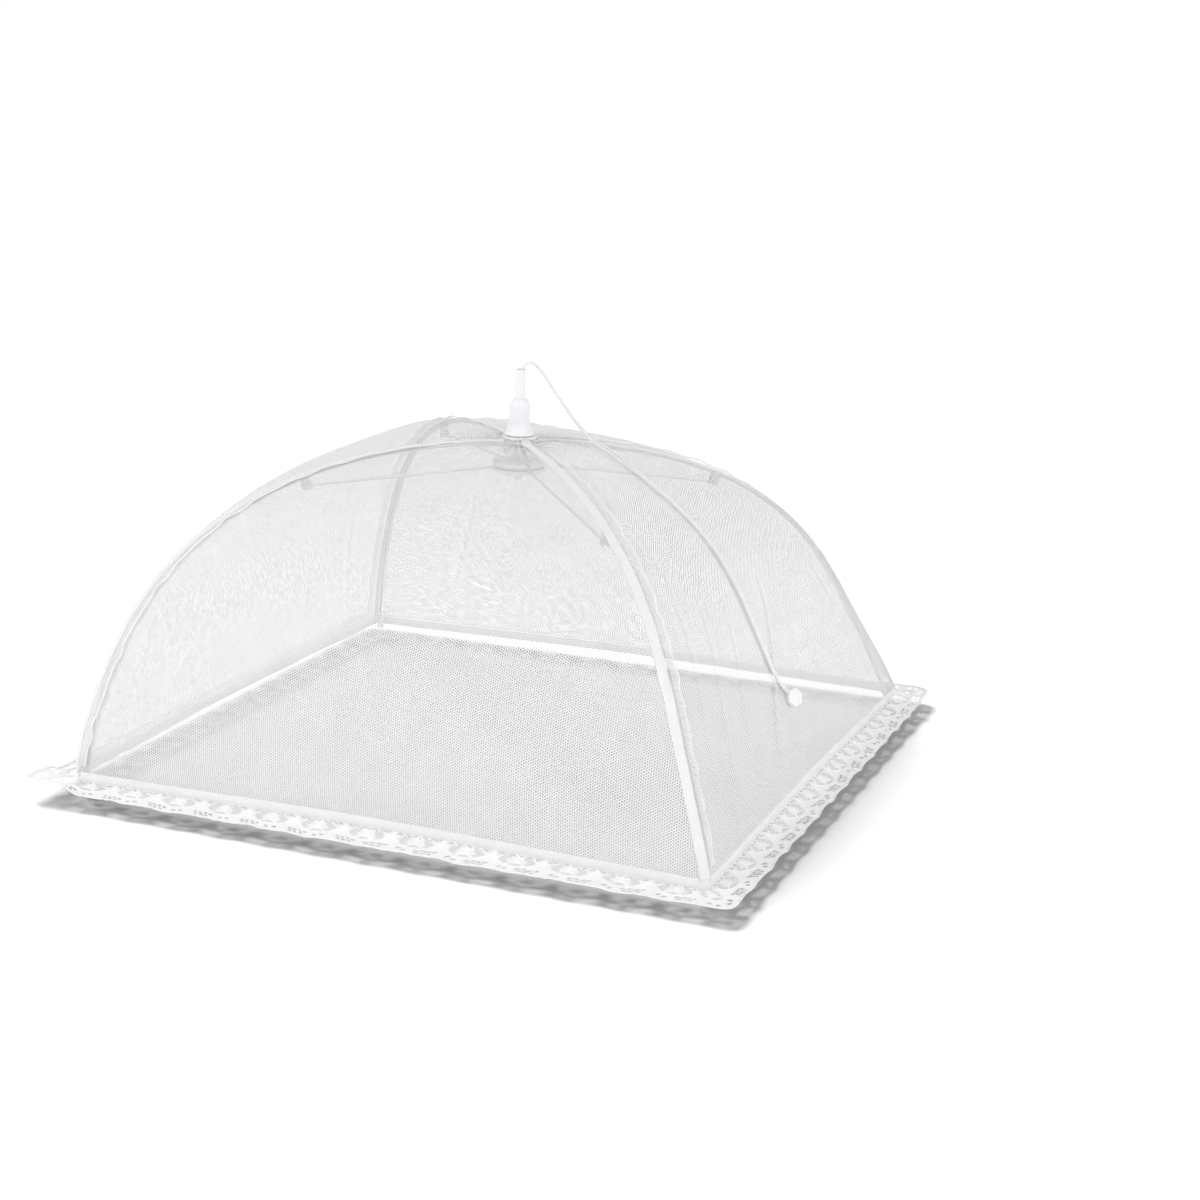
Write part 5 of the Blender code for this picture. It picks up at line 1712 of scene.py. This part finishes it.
# Where the small flutes and the broad wave of the rim start, in radians
ROUND_STARTS = (1, 0.7)
# How far the round's rim drops over the sleeves, and how much more between them
ROUND_DROPS = (0.0002, 0.0010)
# How sharply that drop ends at the sleeves, and how late it comes on the way to the rim
ROUND_DROP_POWERS = (0.8, 1.5)
FERRULE_OUTLINE = (
    (0.0096, 0.2115),
    (0.0100, 0.2119),
    (0.0098, 0.2126),
    (0.0091, 0.2138),
    (0.0083, 0.2154),
    (0.0077, 0.2172),
    (0.0074, 0.2190),
    (0.00735, 0.2225),
    (0.00735, 0.2265),
    (0.00735, 0.2300),
    (0.0072, 0.2318),
    (0.0067, 0.2331),
    (0.0058, 0.2344),
    (0.0051, 0.2354),
    (0.0047, 0.2359),
    (0.0043, 0.23605),
)
TUBE_OUTLINE = (
    (0.0046, 0.1978),
    (0.0050, 0.1982),
    (0.0050, 0.1987),
    (0.0047, 0.1991),
    (0.00375, 0.1993),
    (0.00365, 0.2010),
    (0.00365, 0.2150),
    (0.00365, 0.2300),
    (0.00365, 0.2450),
    (0.00365, 0.2542),
    (0.00355, 0.2550),
    (0.0033, 0.2555),
    (0.0030, 0.2554),
    (0.0028, 0.2548),
    (0.0027, 0.2530),
    (0.0026, 0.2400),
    (0.0026, 0.2200),
)


def spun_mesh(name, outline, bore, steps=64, spacing=0.0004):
    """A ring-shaped solid from an outer outline and a plain bore."""
    curve, _ = smooth_route([(r, 0, z) for r, z in outline], spacing)
    profile = [(p[0], p[2]) for p in curve]
    profile += [(bore, profile[-1][1]), (bore, profile[0][1])]
    angles = 2 * np.pi * np.arange(steps) / steps
    vertices = [(r * math.cos(a), r * math.sin(a), z) for r, z in profile for a in angles]
    faces = []
    for i in range(len(profile)):
        k = (i + 1) % len(profile)
        for j in range(steps):
            m = (j + 1) % steps
            faces.append((i * steps + j, i * steps + m, k * steps + m, k * steps + j))
    mesh = bpy.data.meshes.new(name)
    mesh.from_pydata(vertices, [], faces)
    close_up(mesh, sharp=50)
    return mesh


ferrule_mesh = spun_mesh("ferrule", FERRULE_OUTLINE, TUBE_RADIUS + FERRULE_GAP)
ferrule = plain_object("ferrule", ferrule_mesh, plastic_white)
tube = plain_object("tube", spun_mesh("tube", TUBE_OUTLINE, TUBE_BORE), plastic_white)


def round_mesh():
    """A thin disc of cotton that rides over the four sleeves and dips between them, fluted."""
    fluted = np.linspace(ROUND_FLUTE_START, ROUND_RADIUS, ROUND_FLUTED_RINGS)
    rings = np.concatenate((ROUND_FLAT_RINGS, fluted))
    angles = 2 * np.pi * np.arange(ROUND_SPOKES) / ROUND_SPOKES
    r, a = np.meshgrid(rings, angles, indexing="ij")
    free = np.clip((r - ROUND_FLAT_RINGS[-1]) / (ROUND_RADIUS - ROUND_FLAT_RINGS[-1]), 0, 1)
    (large, large_count), (small, small_count) = ROUND_FLUTES
    sway, sway_count = ROUND_FLUTE_SWAY
    small_start, broad_start = ROUND_STARTS
    flute = large * np.cos(large_count * a + sway * np.sin(sway_count * a))
    flute = flute + small * np.cos(small_count * a + small_start)
    (fine, fine_count), (broad, broad_count) = ROUND_RIM_WAVES
    waves = fine * np.cos(fine_count * a) + broad * np.cos(broad_count * a + broad_start)
    reach = r * (1 + free * waves)
    between_power, rim_power = ROUND_DROP_POWERS
    between = np.abs(np.cos(2 * a)) ** between_power
    drop = free**rim_power * (ROUND_DROPS[0] + ROUND_DROPS[1] * between)
    sheet = np.stack((reach * np.cos(a), reach * np.sin(a), ROUND_HEIGHT - drop + flute * free), -1)
    thick = np.array([0, 0, ROUND_HALF_THICKNESS])
    layers = np.concatenate((sheet + thick, sheet[::-1] - thick))
    rows, columns = layers.shape[:2]
    index = np.arange(rows * columns).reshape(rows, columns)
    below, beside = np.roll(index, -1, 0), np.roll(index, -1, 1)
    faces = np.stack((index, below, np.roll(below, -1, 1), beside), -1).reshape(-1, 4)
    mesh = bpy.data.meshes.new("gathered_round")
    mesh.from_pydata(layers.reshape(-1, 3).tolist(), [], faces.tolist())
    flat_places = layers[..., :2].reshape(-1, 2)[faces.ravel()].astype(np.float32)
    mesh.uv_layers.new(name="UVMap").data.foreach_set("uv", flat_places.ravel())
    close_up(mesh)
    return mesh


gathered_round = plain_object("gathered_round", round_mesh(), sleeve_white)
for piece, node, slot in (
    (ferrule, "handle_ferrule", "white_plastic"),
    (tube, "handle_tube", "white_plastic"),
    (gathered_round, "crown_cloth_patch", "white_cloth"),
):
    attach(piece, "crown")
    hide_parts(node)
print("crown pieces:", ferrule.name, tube.name, gathered_round.name)

# %% [markdown]
# ## The string inside the tube
# The same string runs down the tube's bore to the runner. When the cover closes, the runner goes
# down and the string is drawn in. This piece is the string between the runner and the crown.

# %% The inner string
INNER_LOW = 0.18665
INNER_HIGH = 0.2497
INNER_RINGS = 32
INNER_TURNS = 4.5
INNER_STRAND_OFFSET = 0.00055
INNER_STRAND_RADIUS = 0.0006
turning = np.linspace(0, INNER_TURNS * 2 * np.pi, INNER_RINGS)
zeros = np.zeros(INNER_RINGS)
inner_line = np.stack((zeros, zeros, np.linspace(INNER_LOW, INNER_HIGH, INNER_RINGS)), 1)
inner_side = np.stack((np.cos(turning), np.sin(turning), zeros), 1)
inner_lift = np.stack((-np.sin(turning), np.cos(turning), zeros), 1)
inner_outline = round_outline(INNER_STRAND_RADIUS, sides=8)
inner_strands = [
    (inner_line + inner_side * hand * INNER_STRAND_OFFSET, inner_side, inner_lift, inner_outline)
    for hand in (-1, 1)
]
inner_string = plain_object("inner_string", swept_mesh("inner_string", inner_strands), string_white)
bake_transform(inner_string)
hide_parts("inner_cord")
print("inner string from", INNER_LOW, "to", INNER_HIGH)

# %% [markdown]
# ## Hardware that the solids already have right
# The hub, the runner, the wires and the rivets are seen only through the net. Their solids are
# the right shape, so they keep it and get a real finish.

# %% Finish the carried-over solids


def finish_node(name, material):
    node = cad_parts[name]
    node.data.materials.clear()
    node.data.materials.append(material)


for name in ("crown_hub", "runner"):
    finish_node(name, plastic_white)
for name in ("crown_tie_wire", "runner_tie_wire"):
    finish_node(name, wire_steel)
finish_node("cord_knot", string_white)
for corner, _, _ in CORNERS:
    finish_node(f"rib_{corner}", wire_steel)
    finish_node(f"stretcher_{corner}", wire_steel)
    finish_node(f"rib_bracket_{corner}", bracket_steel)
    finish_node(f"bracket_rivet_{corner}", bracket_steel)
    finish_node(f"rib_tip_{corner}", plastic_white)
